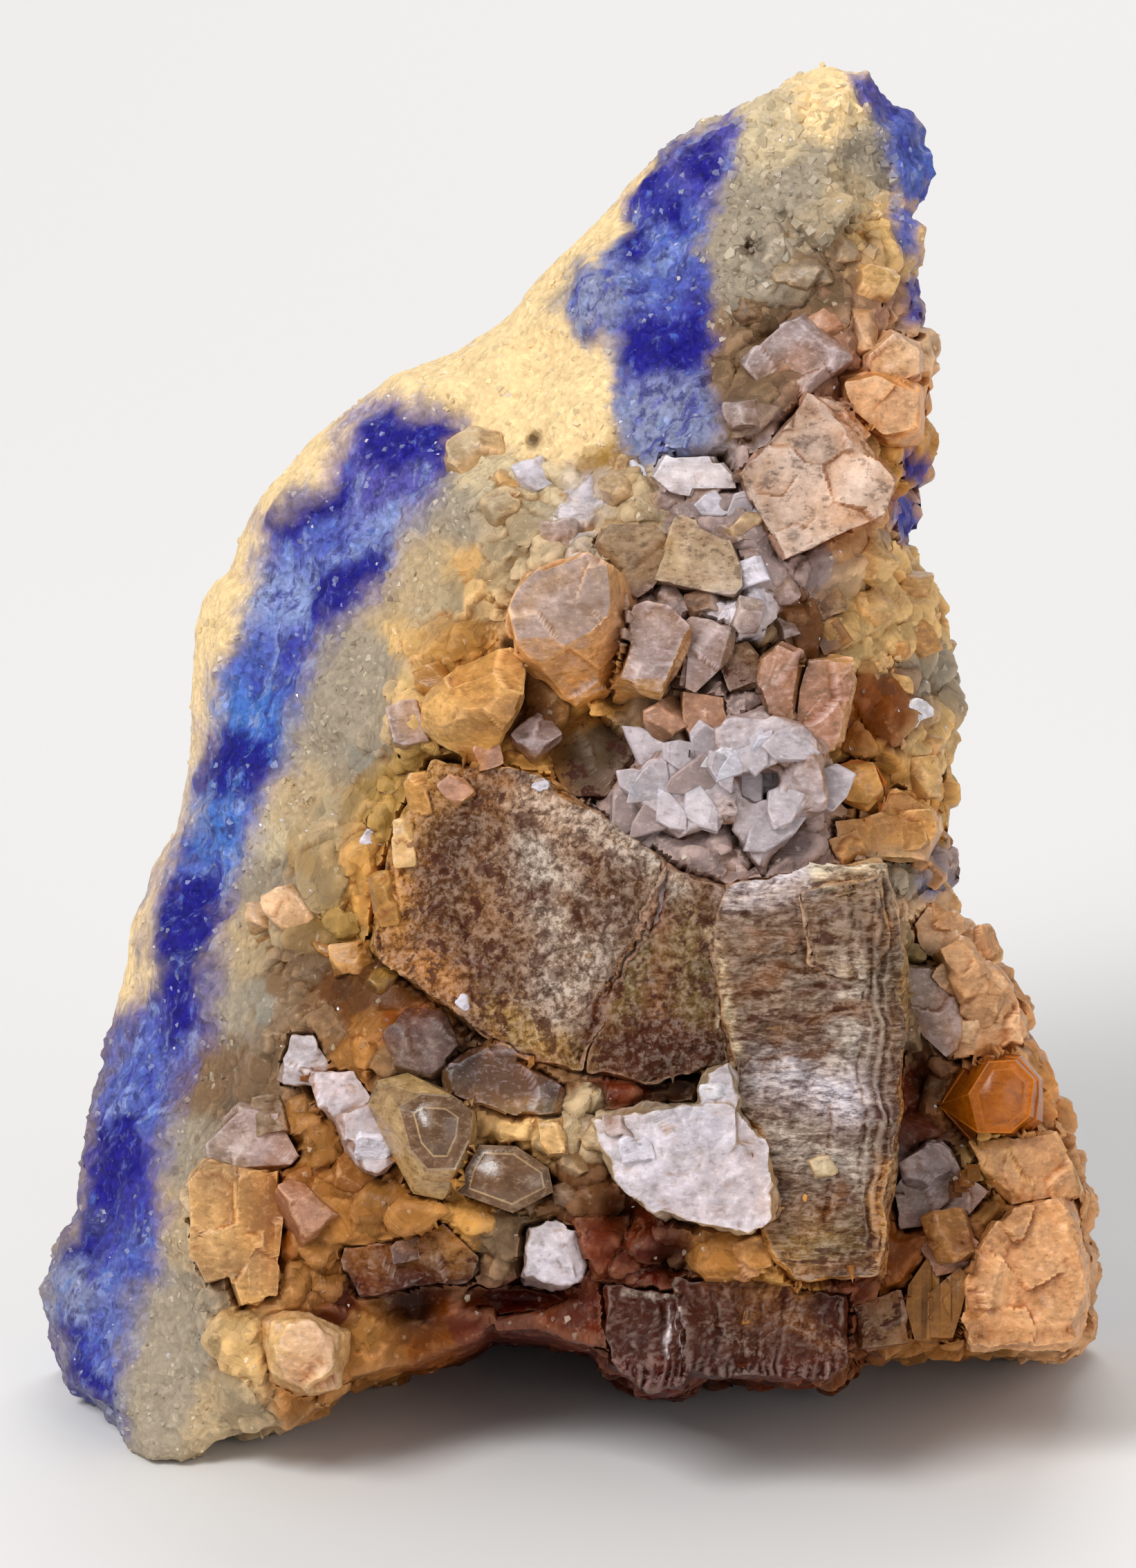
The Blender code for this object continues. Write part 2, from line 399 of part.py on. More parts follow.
def finish(name):
    """The material of that name, made once."""
    material = bpy.data.materials.get(name)
    if material:
        return material
    colour, roughness, metallic = FINISHES[name]
    material = bpy.data.materials.new(name)
    material.use_nodes = True
    shader = material.node_tree.nodes["Principled BSDF"]
    shader.inputs["Base Color"].default_value = colour
    shader.inputs["Roughness"].default_value = roughness
    shader.inputs["Metallic"].default_value = metallic
    material.diffuse_color = colour
    return material


def on_stone(x, y, depth):
    """Where a point lies that is seen at x, y on the sheet, that far in front of the face plane."""
    nearer = 1 - depth / SIGHT
    right = (x - SHEET_CENTRE_X) * nearer
    up = CENTRE_HEIGHT + (SHEET_CENTRE_Y - y) * nearer
    return Vector((right, -depth, up)) * MM


def blended(readings, x, y):
    """Depths at x, y, weighted from the readings by nearness."""
    weights = [((x - at[0]) ** 2 + (y - at[1]) ** 2 + READING_TOP) ** READING_FADE for at in readings]
    return [
        sum(weight * at[column] for weight, at in zip(weights, readings)) / sum(weights)
        for column in range(2, len(readings[0]))
    ]


def rim_distance(x, y):
    """Distance from x, y to the outline, on the sheet."""
    place = Vector((x, y))
    nearest = math.inf
    for start, end in zip(OUTLINE, OUTLINE[1:] + OUTLINE[:1]):
        share = geometry.intersect_point_line(place, Vector(start), Vector(end))[1]
        foot = Vector(start).lerp(Vector(end), min(max(share, 0.0), 1.0))
        nearest = min(nearest, (foot - place).length)
    return nearest


def skin_depths(x, y, distance):
    """Depths of the lump's front and back at x, y: full thickness inside, rolling over to the rim."""
    rim_front, rim_back = blended(RIM_DEPTHS, x, y)
    front = blended(FRONT_DEPTHS, x, y)[0]
    back = blended(BACK_DEPTHS, x, y)[0]
    inward = 1 - min(distance / ROLL, 1.0)
    swell = math.sqrt(1 - inward * inward)
    place = Vector((x, y, 0)) / NOISE_SCALE
    front_bump = SKIN_NOISE * swell * noise.noise(place)
    back_bump = BACK_NOISE * swell * noise.noise(place + Vector((0, 0, SEED)))
    return (
        rim_front + (front - rim_front) * swell + front_bump,
        rim_back + (back - rim_back) * swell + back_bump,
    )


def skin_points():
    """Points inside the outline, on a jittered triangular grid."""
    chance = random.Random(SEED)
    right = max(x for x, y in OUTLINE)
    low = max(y for x, y in OUTLINE)
    row_height = SKIN_STEP * math.sqrt(3) / 2
    points = []
    for row in range(int(low / row_height) + 1):
        for column in range(int(right / SKIN_STEP) + 1):
            x = (column + 0.5 * (row % 2)) * SKIN_STEP + chance.uniform(-SKIN_JITTER, SKIN_JITTER)
            y = row * row_height + chance.uniform(-SKIN_JITTER, SKIN_JITTER)
            if inside_outline(x, y) and rim_distance(x, y) > SKIN_MARGIN:
                points.append((x, y))
    return points


def inside_outline(x, y):
    """Whether x, y lies inside the outline: a line to its right crosses the rim an odd number of times."""
    inside = False
    for (x0, y0), (x1, y1) in zip(OUTLINE, OUTLINE[1:] + OUTLINE[:1]):
        if (y0 > y) != (y1 > y) and x < x0 + (y - y0) * (x1 - x0) / (y1 - y0):
            inside = not inside
    return inside


def wall_inset(x, y, share):
    """How far the rim's wall lies inside the outline: least in the middle, more at the front and back."""
    rounding = RIM_ROUND * (1 - math.sin(math.pi * share))
    return rounding * (1 + WALL_NOISE * noise.noise(Vector((x, y, WALL_DRIFT * share)) / WALL_SCALE))


def lump():
    """The lump before its pockets: a front and a back skin over the outline, joined by the rim's wall."""
    count = len(OUTLINE)
    rim_edges = [(index, (index + 1) % count) for index in range(count)]
    places = [Vector(point) for point in OUTLINE + skin_points()]
    net = geometry.delaunay_2d_cdt(places, rim_edges, [], 1, SAME_PLACE)
    places, faces = net[0], net[2]
    middle = Vector((SHEET_CENTRE_X, SHEET_CENTRE_Y))
    shape = bmesh.new()
    columns = []
    for x, y in places:
        distance = rim_distance(x, y)
        front, back = skin_depths(x, y, distance)
        column = []
        for row in range(0, WALL_ROWS + 1, 1 if distance < ON_RIM else WALL_ROWS):
            share = row / WALL_ROWS
            inset = wall_inset(x, y, share) if distance < ON_RIM else 0.0
            way = (middle - Vector((x, y))).normalized() * inset
            column.append(shape.verts.new(on_stone(x + way.x, y + way.y, front + (back - front) * share)))
        columns.append(column)
    uses = {}
    for corners in faces:
        shape.faces.new([columns[corner][0] for corner in corners])
        shape.faces.new([columns[corner][-1] for corner in reversed(corners)])
        for pair in zip(corners, list(corners[1:]) + [corners[0]]):
            uses[frozenset(pair)] = uses.get(frozenset(pair), 0) + 1
    for pair in [tuple(pair) for pair, sides in uses.items() if sides == 1]:
        first, second = columns[pair[0]], columns[pair[1]]
        for row in range(len(first) - 1):
            shape.faces.new([first[row], first[row + 1], second[row + 1], second[row]])
    bmesh.ops.recalc_face_normals(shape, faces=shape.faces)
    return shape


def cut_plane(shape, point, outward):
    """Cuts away what lies outside the plane, and closes the cut."""
    geom = shape.verts[:] + shape.edges[:] + shape.faces[:]
    cut = bmesh.ops.bisect_plane(
        shape, geom=geom, dist=CUT_WIDTH * MM, plane_co=point, plane_no=outward, clear_outer=True
    )
    rim = [part for part in cut["geom_cut"] if isinstance(part, bmesh.types.BMEdge)]
    bmesh.ops.contextual_create(shape, geom=rim)
    bmesh.ops.recalc_face_normals(shape, faces=shape.faces)


def face_way(right, forward, up):
    """A direction given to the right, forward and up in the face plane's own frame."""
    return Vector((right, -forward, up)).normalized()


def add_object(name, shape, material, stance):
    """The shape as an object with its finish, standing as the stone stands."""
    mesh = bpy.data.meshes.new(name)
    shape.to_mesh(mesh)
    shape.free()
    mesh.materials.append(finish(material))
    piece = bpy.data.objects.new(name, mesh)
    bpy.context.collection.objects.link(piece)
    piece.parent = stance
    return piece


def hull(corners):
    """The convex solid over those corners."""
    shape = bmesh.new()
    for x, y, depth in corners:
        shape.verts.new(on_stone(x, y, depth))
    bmesh.ops.convex_hull(shape, input=shape.verts)
    loose = [vert for vert in shape.verts if not vert.link_faces]
    bmesh.ops.delete(shape, geom=loose, context="VERTS")
    bmesh.ops.dissolve_limit(shape, angle_limit=FLAT, verts=shape.verts, edges=shape.edges)
    bmesh.ops.recalc_face_normals(shape, faces=shape.faces)
    return shape


def ellipsoid(centre, half_sizes):
    """A hollow's cutter."""
    shape = bmesh.new()
    bmesh.ops.create_icosphere(shape, subdivisions=2, radius=1.0)
    half_width, half_height, half_depth = half_sizes
    scale = Matrix.Diagonal((half_width * MM, half_depth * MM, half_height * MM, 1))
    bmesh.ops.transform(shape, matrix=Matrix.Translation(on_stone(*centre)) @ scale, verts=shape.verts)
    return shape


def grown(shape):
    """The same solid, larger by the gap all round."""
    shape.normal_update()
    moves = [vert.normal * vert.calc_shell_factor() * GAP * MM for vert in shape.verts]
    for vert, move in zip(shape.verts, moves):
        vert.co += move
    return shape


def as_cutter(piece):
    """Marks the piece as a tool that isn't part of the stone."""
    piece.hide_render = True
    piece.display_type = "WIRE"
    return piece


def combine(piece, others, operation):
    """Joins the others to the piece, or cuts them out of it."""
    for other in others:
        modifier = piece.modifiers.new(other.name, "BOOLEAN")
        modifier.operation = operation
        modifier.object = other
    bpy.context.view_layer.update()
    graph = bpy.context.evaluated_depsgraph_get()
    result = bpy.data.meshes.new_from_object(piece.evaluated_get(graph))
    piece.modifiers.clear()
    piece.data = result


def keep_main_body(piece):
    """Drops the slivers that the cuts left loose."""
    shape = bmesh.new()
    shape.from_mesh(piece.data)
    bmesh.ops.remove_doubles(shape, verts=shape.verts, dist=MERGE * MM)
    waiting = set(shape.verts)
    bodies = []
    while waiting:
        body = {waiting.pop()}
        edge_of_body = list(body)
        while edge_of_body:
            vert = edge_of_body.pop()
            for edge in vert.link_edges:
                other = edge.other_vert(vert)
                if other not in body:
                    body.add(other)
                    edge_of_body.append(other)
        waiting -= body
        bodies.append(body)
    bodies.sort(key=len)
    for body in bodies[:-1]:
        bmesh.ops.delete(shape, geom=list(body), context="VERTS")
    shape.to_mesh(piece.data)
    shape.free()


def boxes_meet(first, second):
    """Whether the bounding boxes of two pieces meet."""
    first_corners = [Vector(corner) for corner in first.bound_box]
    second_corners = [Vector(corner) for corner in second.bound_box]
    return all(
        min(corner[axis] for corner in first_corners) < max(corner[axis] for corner in second_corners)
        and min(corner[axis] for corner in second_corners) < max(corner[axis] for corner in first_corners)
        for axis in range(3)
    )


def seat_crystals(stance):
    """The crystals, each clear of those before it, and the cutters of their pockets."""
    cutters = []
    for name, material, blocks in CRYSTALS:
        parts = [add_object(name, hull(blocks[0]), material, stance)]
        for index, corners in enumerate(blocks[1:]):
            parts.append(as_cutter(add_object(f"{name}_part{index}", hull(corners), material, stance)))
        piece = parts[0]
        if parts[1:]:
            combine(piece, parts[1:], "UNION")
        met = [cutter for cutter in cutters if boxes_meet(piece, cutter)]
        if met:
            combine(piece, met, "DIFFERENCE")
        keep_main_body(piece)
        for index, corners in enumerate(blocks):
            pocket = add_object(f"{name}_pocket{index}", grown(hull(corners)), material, stance)
            cutters.append(as_cutter(pocket))
    return cutters


def build():
    """The crystals first, then the lump with its hollows and the crystals' pockets cut out."""
    for item in list(bpy.data.objects):
        bpy.data.objects.remove(item)
    stance = bpy.data.objects.new("stance", None)
    bpy.context.collection.objects.link(stance)
    stance.rotation_euler = (-LEAN, 0, 0)
    stance.location = (STANCE_RIGHT * MM, STANCE_BACK * MM, -FLOOR_TRIM * MM)
    cutters = seat_crystals(stance)
    hollows = [
        as_cutter(add_object(f"hollow{index}", ellipsoid(centre, sizes), "lapis", stance))
        for index, (centre, sizes) in enumerate(HOLLOWS)
    ]
    shape = lump()
    for point, way in BREAKS:
        cut_plane(shape, on_stone(*point), face_way(*way))
    floor_down = Vector((0, math.sin(LEAN), -math.cos(LEAN)))
    cut_plane(shape, -floor_down * FLOOR_TRIM * MM, floor_down)
    rock = add_object("lapis_rock", shape, "lapis", stance)
    combine(rock, hollows + cutters, "DIFFERENCE")
    keep_main_body(rock)


build()
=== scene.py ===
"""Rough lapis lazuli: the stone with its blue band, cream rind, sugary ground and crowded mica crystals."""

import math
import random

import bpy
import numpy as np
from mathutils import Matrix, Vector, bvhtree, kdtree


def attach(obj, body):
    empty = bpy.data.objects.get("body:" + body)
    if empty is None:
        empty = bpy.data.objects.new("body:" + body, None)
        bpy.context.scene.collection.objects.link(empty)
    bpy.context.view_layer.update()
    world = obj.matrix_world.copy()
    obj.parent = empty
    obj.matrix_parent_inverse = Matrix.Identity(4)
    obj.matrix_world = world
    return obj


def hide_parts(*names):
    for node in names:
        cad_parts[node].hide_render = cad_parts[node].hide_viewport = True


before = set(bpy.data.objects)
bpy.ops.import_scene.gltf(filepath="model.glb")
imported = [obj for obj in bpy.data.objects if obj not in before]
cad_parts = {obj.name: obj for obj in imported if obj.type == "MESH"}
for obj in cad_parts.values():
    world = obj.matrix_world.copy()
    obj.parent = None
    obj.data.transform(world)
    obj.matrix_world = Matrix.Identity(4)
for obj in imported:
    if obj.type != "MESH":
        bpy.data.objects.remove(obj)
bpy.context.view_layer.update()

MM = 0.001

# Places are read off a full-size reference sheet that stands in the face plane: millimetres to the
# right and down from its top left corner. Depths are millimetres in front of that plane.
# The sheet's place of the sight line, and that line's height up the face
SHEET_X, SHEET_Y = 41.1, 56.7
CENTRE_HEIGHT = 49.8
# How far away the face is seen from, how far the stone leans back, and where its foot stands
SIGHT = 650.0
LEAN = math.radians(18)
STANCE = Vector((0.23, -15.88, -1.0)) * MM
STAND = Matrix.Translation(STANCE) @ Matrix.Rotation(-LEAN, 4, "X") @ Matrix.Scale(MM, 4)
UNSTAND = np.array(STAND.inverted())


def on_stone(x, y, depth):
    """Where a point lies that is seen at x, y on the sheet, that far in front of the face plane."""
    nearer = 1 - depth / SIGHT
    return STAND @ Vector(((x - SHEET_X) * nearer, -depth, CENTRE_HEIGHT + (SHEET_Y - y) * nearer))


def face_way(right, forward, up):
    """A direction given to the right, forward and up in the face plane's own frame."""
    return (STAND.to_3x3() @ Vector((right, -forward, up))).normalized()


def sheet_places(points):
    """The sheet x and y and the depth of many points."""
    own = points @ UNSTAND[:3, :3].T + UNSTAND[:3, 3]
    nearer = 1 + own[:, 1] / SIGHT
    return SHEET_X + own[:, 0] / nearer, SHEET_Y - (own[:, 2] - CENTRE_HEIGHT) / nearer, -own[:, 1]


# Colours, as seen in daylight
TONES = {
    "deep": (24, 18, 128), "navy": (58, 56, 122), "royal": (58, 56, 160), "mid_blue": (88, 102, 182),
    "violet": (92, 82, 162), "azure": (72, 118, 196), "pale_blue": (150, 166, 212),
    "grey_blue": (138, 143, 173), "cream": (244, 212, 158), "cream_pale": (250, 234, 204),
    "cream_grey": (206, 186, 150), "beige": (188, 164, 128), "grey_beige": (164, 150, 130),
    "olive": (112, 92, 50), "olive_dark": (72, 56, 28), "lilac_pale": (184, 172, 176),
    "olive_gold": (170, 132, 66), "golden": (200, 144, 70), "golden_pale": (222, 180, 118),
    "amber": (164, 108, 48), "deep_amber": (196, 104, 4), "orange": (220, 150, 80),
    "dark_amber": (132, 66, 4), "brown": (104, 62, 28), "grey_brown": (132, 104, 76),
    "dark_brown": (60, 28, 8), "red_brown": (100, 36, 8), "dark_red": (76, 14, 4), "lilac": (164, 142, 138),
    "lilac_dark": (100, 76, 70), "white_lilac": (208, 200, 208), "rose": (176, 128, 102),
    "peach": (208, 154, 104), "peach_pale": (224, 184, 144), "white": (228, 222, 226),
    "silver": (166, 154, 142), "book_tan": (108, 76, 52), "book_grey": (108, 88, 72),
    "book_gold": (108, 70, 36), "book_brown": (74, 42, 20), "book_dark": (64, 32, 20),
    "silver_pale": (198, 184, 172), "stain": (66, 24, 8), "slab_grey": (42, 28, 28),
    "peach_grey": (206, 180, 164), "clear_brown": (132, 94, 62),
}


def linear(tone):
    """A tone's colour in linear light."""
    shares = [part / 255 for part in TONES[tone]]
    return np.array([s / 12.92 if s < 0.04045 else ((s + 0.055) / 1.055) ** 2.4 for s in shares])


# The zones of the stone, as outlines on the sheet
BLUE_BAND = [
    (25.0, 33.0), (25.6, 29.8), (28.4, 28.7), (30.5, 29.6), (33.6, 30.6), (33.3, 33.5), (32.2, 35.0),
    (29.1, 39.4), (28.3, 42.0), (23.6, 46.5), (22.5, 49.7), (21.0, 55.2), (19.2, 58.0), (18.4, 61.4),
    (17.8, 63.5), (16.8, 66.2), (15.8, 69.8), (15.6, 74.3), (13.8, 77.6), (12.8, 79.7), (12.2, 83.2),
    (12.0, 86.6), (12.0, 90.4), (11.6, 92.7), (10.3, 93.1), (10.2, 95.5), (9.4, 98.0), (9.0, 100.6),
    (9.0, 105.5), (8.1, 103.6), (7.1, 102.4), (5.6, 100.8), (4.9, 99.0), (4.5, 97.0), (3.6, 93.0),
    (4.5, 90.5), (5.9, 88.5), (6.5, 85.0), (6.9, 81.0), (8.0, 77.4), (8.6, 74.4), (10.5, 72.2),
    (11.6, 69.9), (10.8, 68.0), (10.8, 65.4), (12.6, 62.5), (13.9, 59.9), (15.0, 55.2), (15.8, 51.8),
    (15.8, 48.9), (18.1, 45.0), (18.9, 42.6), (19.3, 37.6), (23.2, 35.5),
]
BLUE_TOP = [
    (48.0, 11.4), (50.2, 9.4), (53.4, 8.2), (53.6, 10.0), (52.6, 12.5), (51.5, 15.5), (50.6, 18.5),
    (51.6, 20.2), (51.4, 22.5), (51.9, 24.5), (51.2, 27.0), (52.2, 30.0), (51.0, 32.6), (47.0, 33.4),
    (44.8, 32.2), (44.6, 27.8), (44.9, 24.8), (42.4, 24.0), (40.4, 22.0), (41.2, 19.9), (43.4, 18.8),
    (45.4, 16.4), (45.2, 14.2),
]
BLUE_EDGES = [
    [(61.2, 4.6), (63.8, 5.2), (64.6, 7.2), (67.4, 10.2), (67.9, 13.0), (66.6, 14.8), (65.0, 14.4),
     (64.4, 11.0), (62.6, 7.0)],
    [(64.8, 15.2), (66.2, 15.0), (66.2, 18.6), (64.9, 18.4)],
    [(65.3, 20.5), (66.6, 20.2), (66.6, 23.9), (65.4, 23.6)],
    [(65.1, 32.5), (66.8, 32.5), (66.4, 35.0), (65.2, 35.0)],
    [(64.0, 36.2), (66.0, 35.8), (65.8, 39.4), (64.2, 39.0)],
    [(66.2, 63.4), (68.2, 63.2), (68.3, 65.0), (66.4, 65.2)],
]
DEEP_PATCHES = [
    [(49.2, 10.4), (51.6, 9.9), (52.4, 11.0), (51.4, 13.6), (49.6, 13.2)],
    [(45.8, 12.0), (47.8, 12.2), (47.9, 14.2), (46.2, 14.4)],
    [(47.5, 14.2), (49.1, 14.2), (49.0, 16.4), (47.6, 16.4)],
    [(44.9, 16.3), (47.1, 16.4), (46.9, 18.6), (45.0, 18.6)],
    [(44.8, 24.8), (47.0, 22.8), (51.7, 22.7), (51.4, 25.2), (50.2, 26.8), (44.8, 26.9)],
    [(25.8, 31.2), (28.0, 29.0), (30.4, 30.0), (33.2, 31.0), (32.8, 34.2), (30.4, 33.4), (27.2, 34.2)],
    [(19.2, 36.8), (22.8, 35.8), (25.6, 34.6), (25.0, 36.6), (21.2, 38.4), (19.4, 38.8)],
    [(23.0, 41.8), (28.4, 38.6), (27.2, 42.2), (23.2, 46.0), (22.0, 45.0)],
    [(15.0, 52.5), (18.6, 53.0), (20.4, 55.4), (17.6, 57.6), (14.4, 57.2)],
    [(11.4, 63.6), (15.4, 62.8), (16.2, 66.4), (13.2, 69.8), (11.2, 68.6)],
    [(12.0, 70.4), (15.2, 69.4), (15.0, 74.0), (12.2, 75.6)],
    [(7.0, 81.4), (9.4, 80.6), (10.4, 84.6), (8.6, 87.6), (6.8, 87.0)],
    [(4.4, 89.8), (6.6, 89.2), (6.8, 91.0), (4.4, 91.4)],
    [(3.8, 95.0), (5.8, 95.4), (6.2, 98.4), (7.6, 99.6), (7.0, 101.6), (4.8, 99.6)],
]
CREAM_RIND = [
    (46.5, 9.0), (42.0, 13.0), (38.0, 18.0), (30.0, 23.0), (20.0, 30.0), (12.0, 38.0), (8.0, 55.0),
    (5.0, 74.0), (9.1, 73.6), (11.3, 70.9), (10.8, 69.2), (10.8, 65.8), (12.5, 62.9), (13.9, 60.1),
    (14.7, 55.6), (15.9, 52.7), (15.9, 49.3), (17.0, 45.4), (18.7, 43.1), (19.6, 40.8), (19.0, 39.1),
    (19.3, 36.9), (21.0, 35.7), (23.8, 35.2), (26.1, 34.0), (26.7, 31.8), (28.4, 29.5), (30.6, 28.9),
    (33.5, 29.5), (34.0, 30.9), (36.3, 31.8), (39.7, 33.5), (42.0, 32.9), (44.2, 31.8), (44.8, 28.4),
    (44.2, 25.5), (42.0, 24.4), (39.1, 22.7), (39.1, 21.5), (40.8, 19.8), (43.1, 18.7), (45.4, 16.4),
    (47.0, 12.0),
]
MICA_FIELD = [
    (52.0, 26.0), (53.5, 21.0), (55.5, 16.5), (59.0, 14.5), (65.0, 15.5), (67.5, 23.0), (67.5, 40.0),
    (69.5, 46.0), (69.5, 62.0), (71.0, 68.0), (76.0, 73.0), (80.0, 85.0), (80.0, 99.0), (62.0, 100.5),
    (52.0, 102.0), (44.0, 101.5), (35.0, 98.5), (27.5, 99.5), (22.0, 102.5), (17.0, 104.5), (15.5, 100.0),
    (14.5, 95.0), (13.5, 88.0), (14.5, 82.0), (17.0, 78.0), (18.5, 72.0), (18.0, 67.0), (20.5, 62.0),
    (24.5, 56.0), (27.0, 52.0), (29.0, 48.0), (31.5, 44.0), (33.5, 39.5), (35.0, 36.5), (37.0, 33.8),
    (46.0, 33.5), (49.5, 31.5),
]
# The calm ground with few crystals: the fibrous slope beside the books, its foot, and the arch under them
CALM = [
    [
        (34.0, 37.0), (37.0, 39.0), (34.5, 43.5), (31.0, 47.5), (28.0, 52.0), (27.5, 57.0), (25.5, 62.5),
        (19.0, 64.5),
        (17.0, 74.0), (13.0, 88.0), (12.0, 82.0), (16.0, 66.0), (24.0, 50.0), (29.0, 41.0),
    ],
    [(24.0, 68.0), (33.0, 69.5), (34.5, 74.5), (28.0, 76.0), (22.0, 74.0)],
    [(12.5, 72.0), (20.5, 70.0), (22.0, 83.0), (13.5, 83.0)],
    [(24.0, 91.5), (46.0, 91.5), (44.0, 98.5), (24.0, 99.5)],
    [(9.5, 90.0), (15.0, 92.0), (17.0, 105.0), (8.0, 104.0)],
]
# Pits, pressed in and darkened as painted shade: sheet place, reach and depth in millimetres
PITS = [
    (38.5, 31.8, 0.7, 1.0), (54.6, 18.0, 0.9, 1.0), (45.0, 87.6, 1.8, 1.6), (48.8, 91.0, 2.0, 1.6),
    (54.8, 57.0, 1.1, 1.4), (67.0, 78.5, 2.2, 0.6), (44.5, 50.5, 1.4, 1.2), (37.5, 47.0, 1.2, 1.0),
    (30.0, 94.4, 2.4, 1.0), (62.5, 60.0, 1.0, 0.6),
]
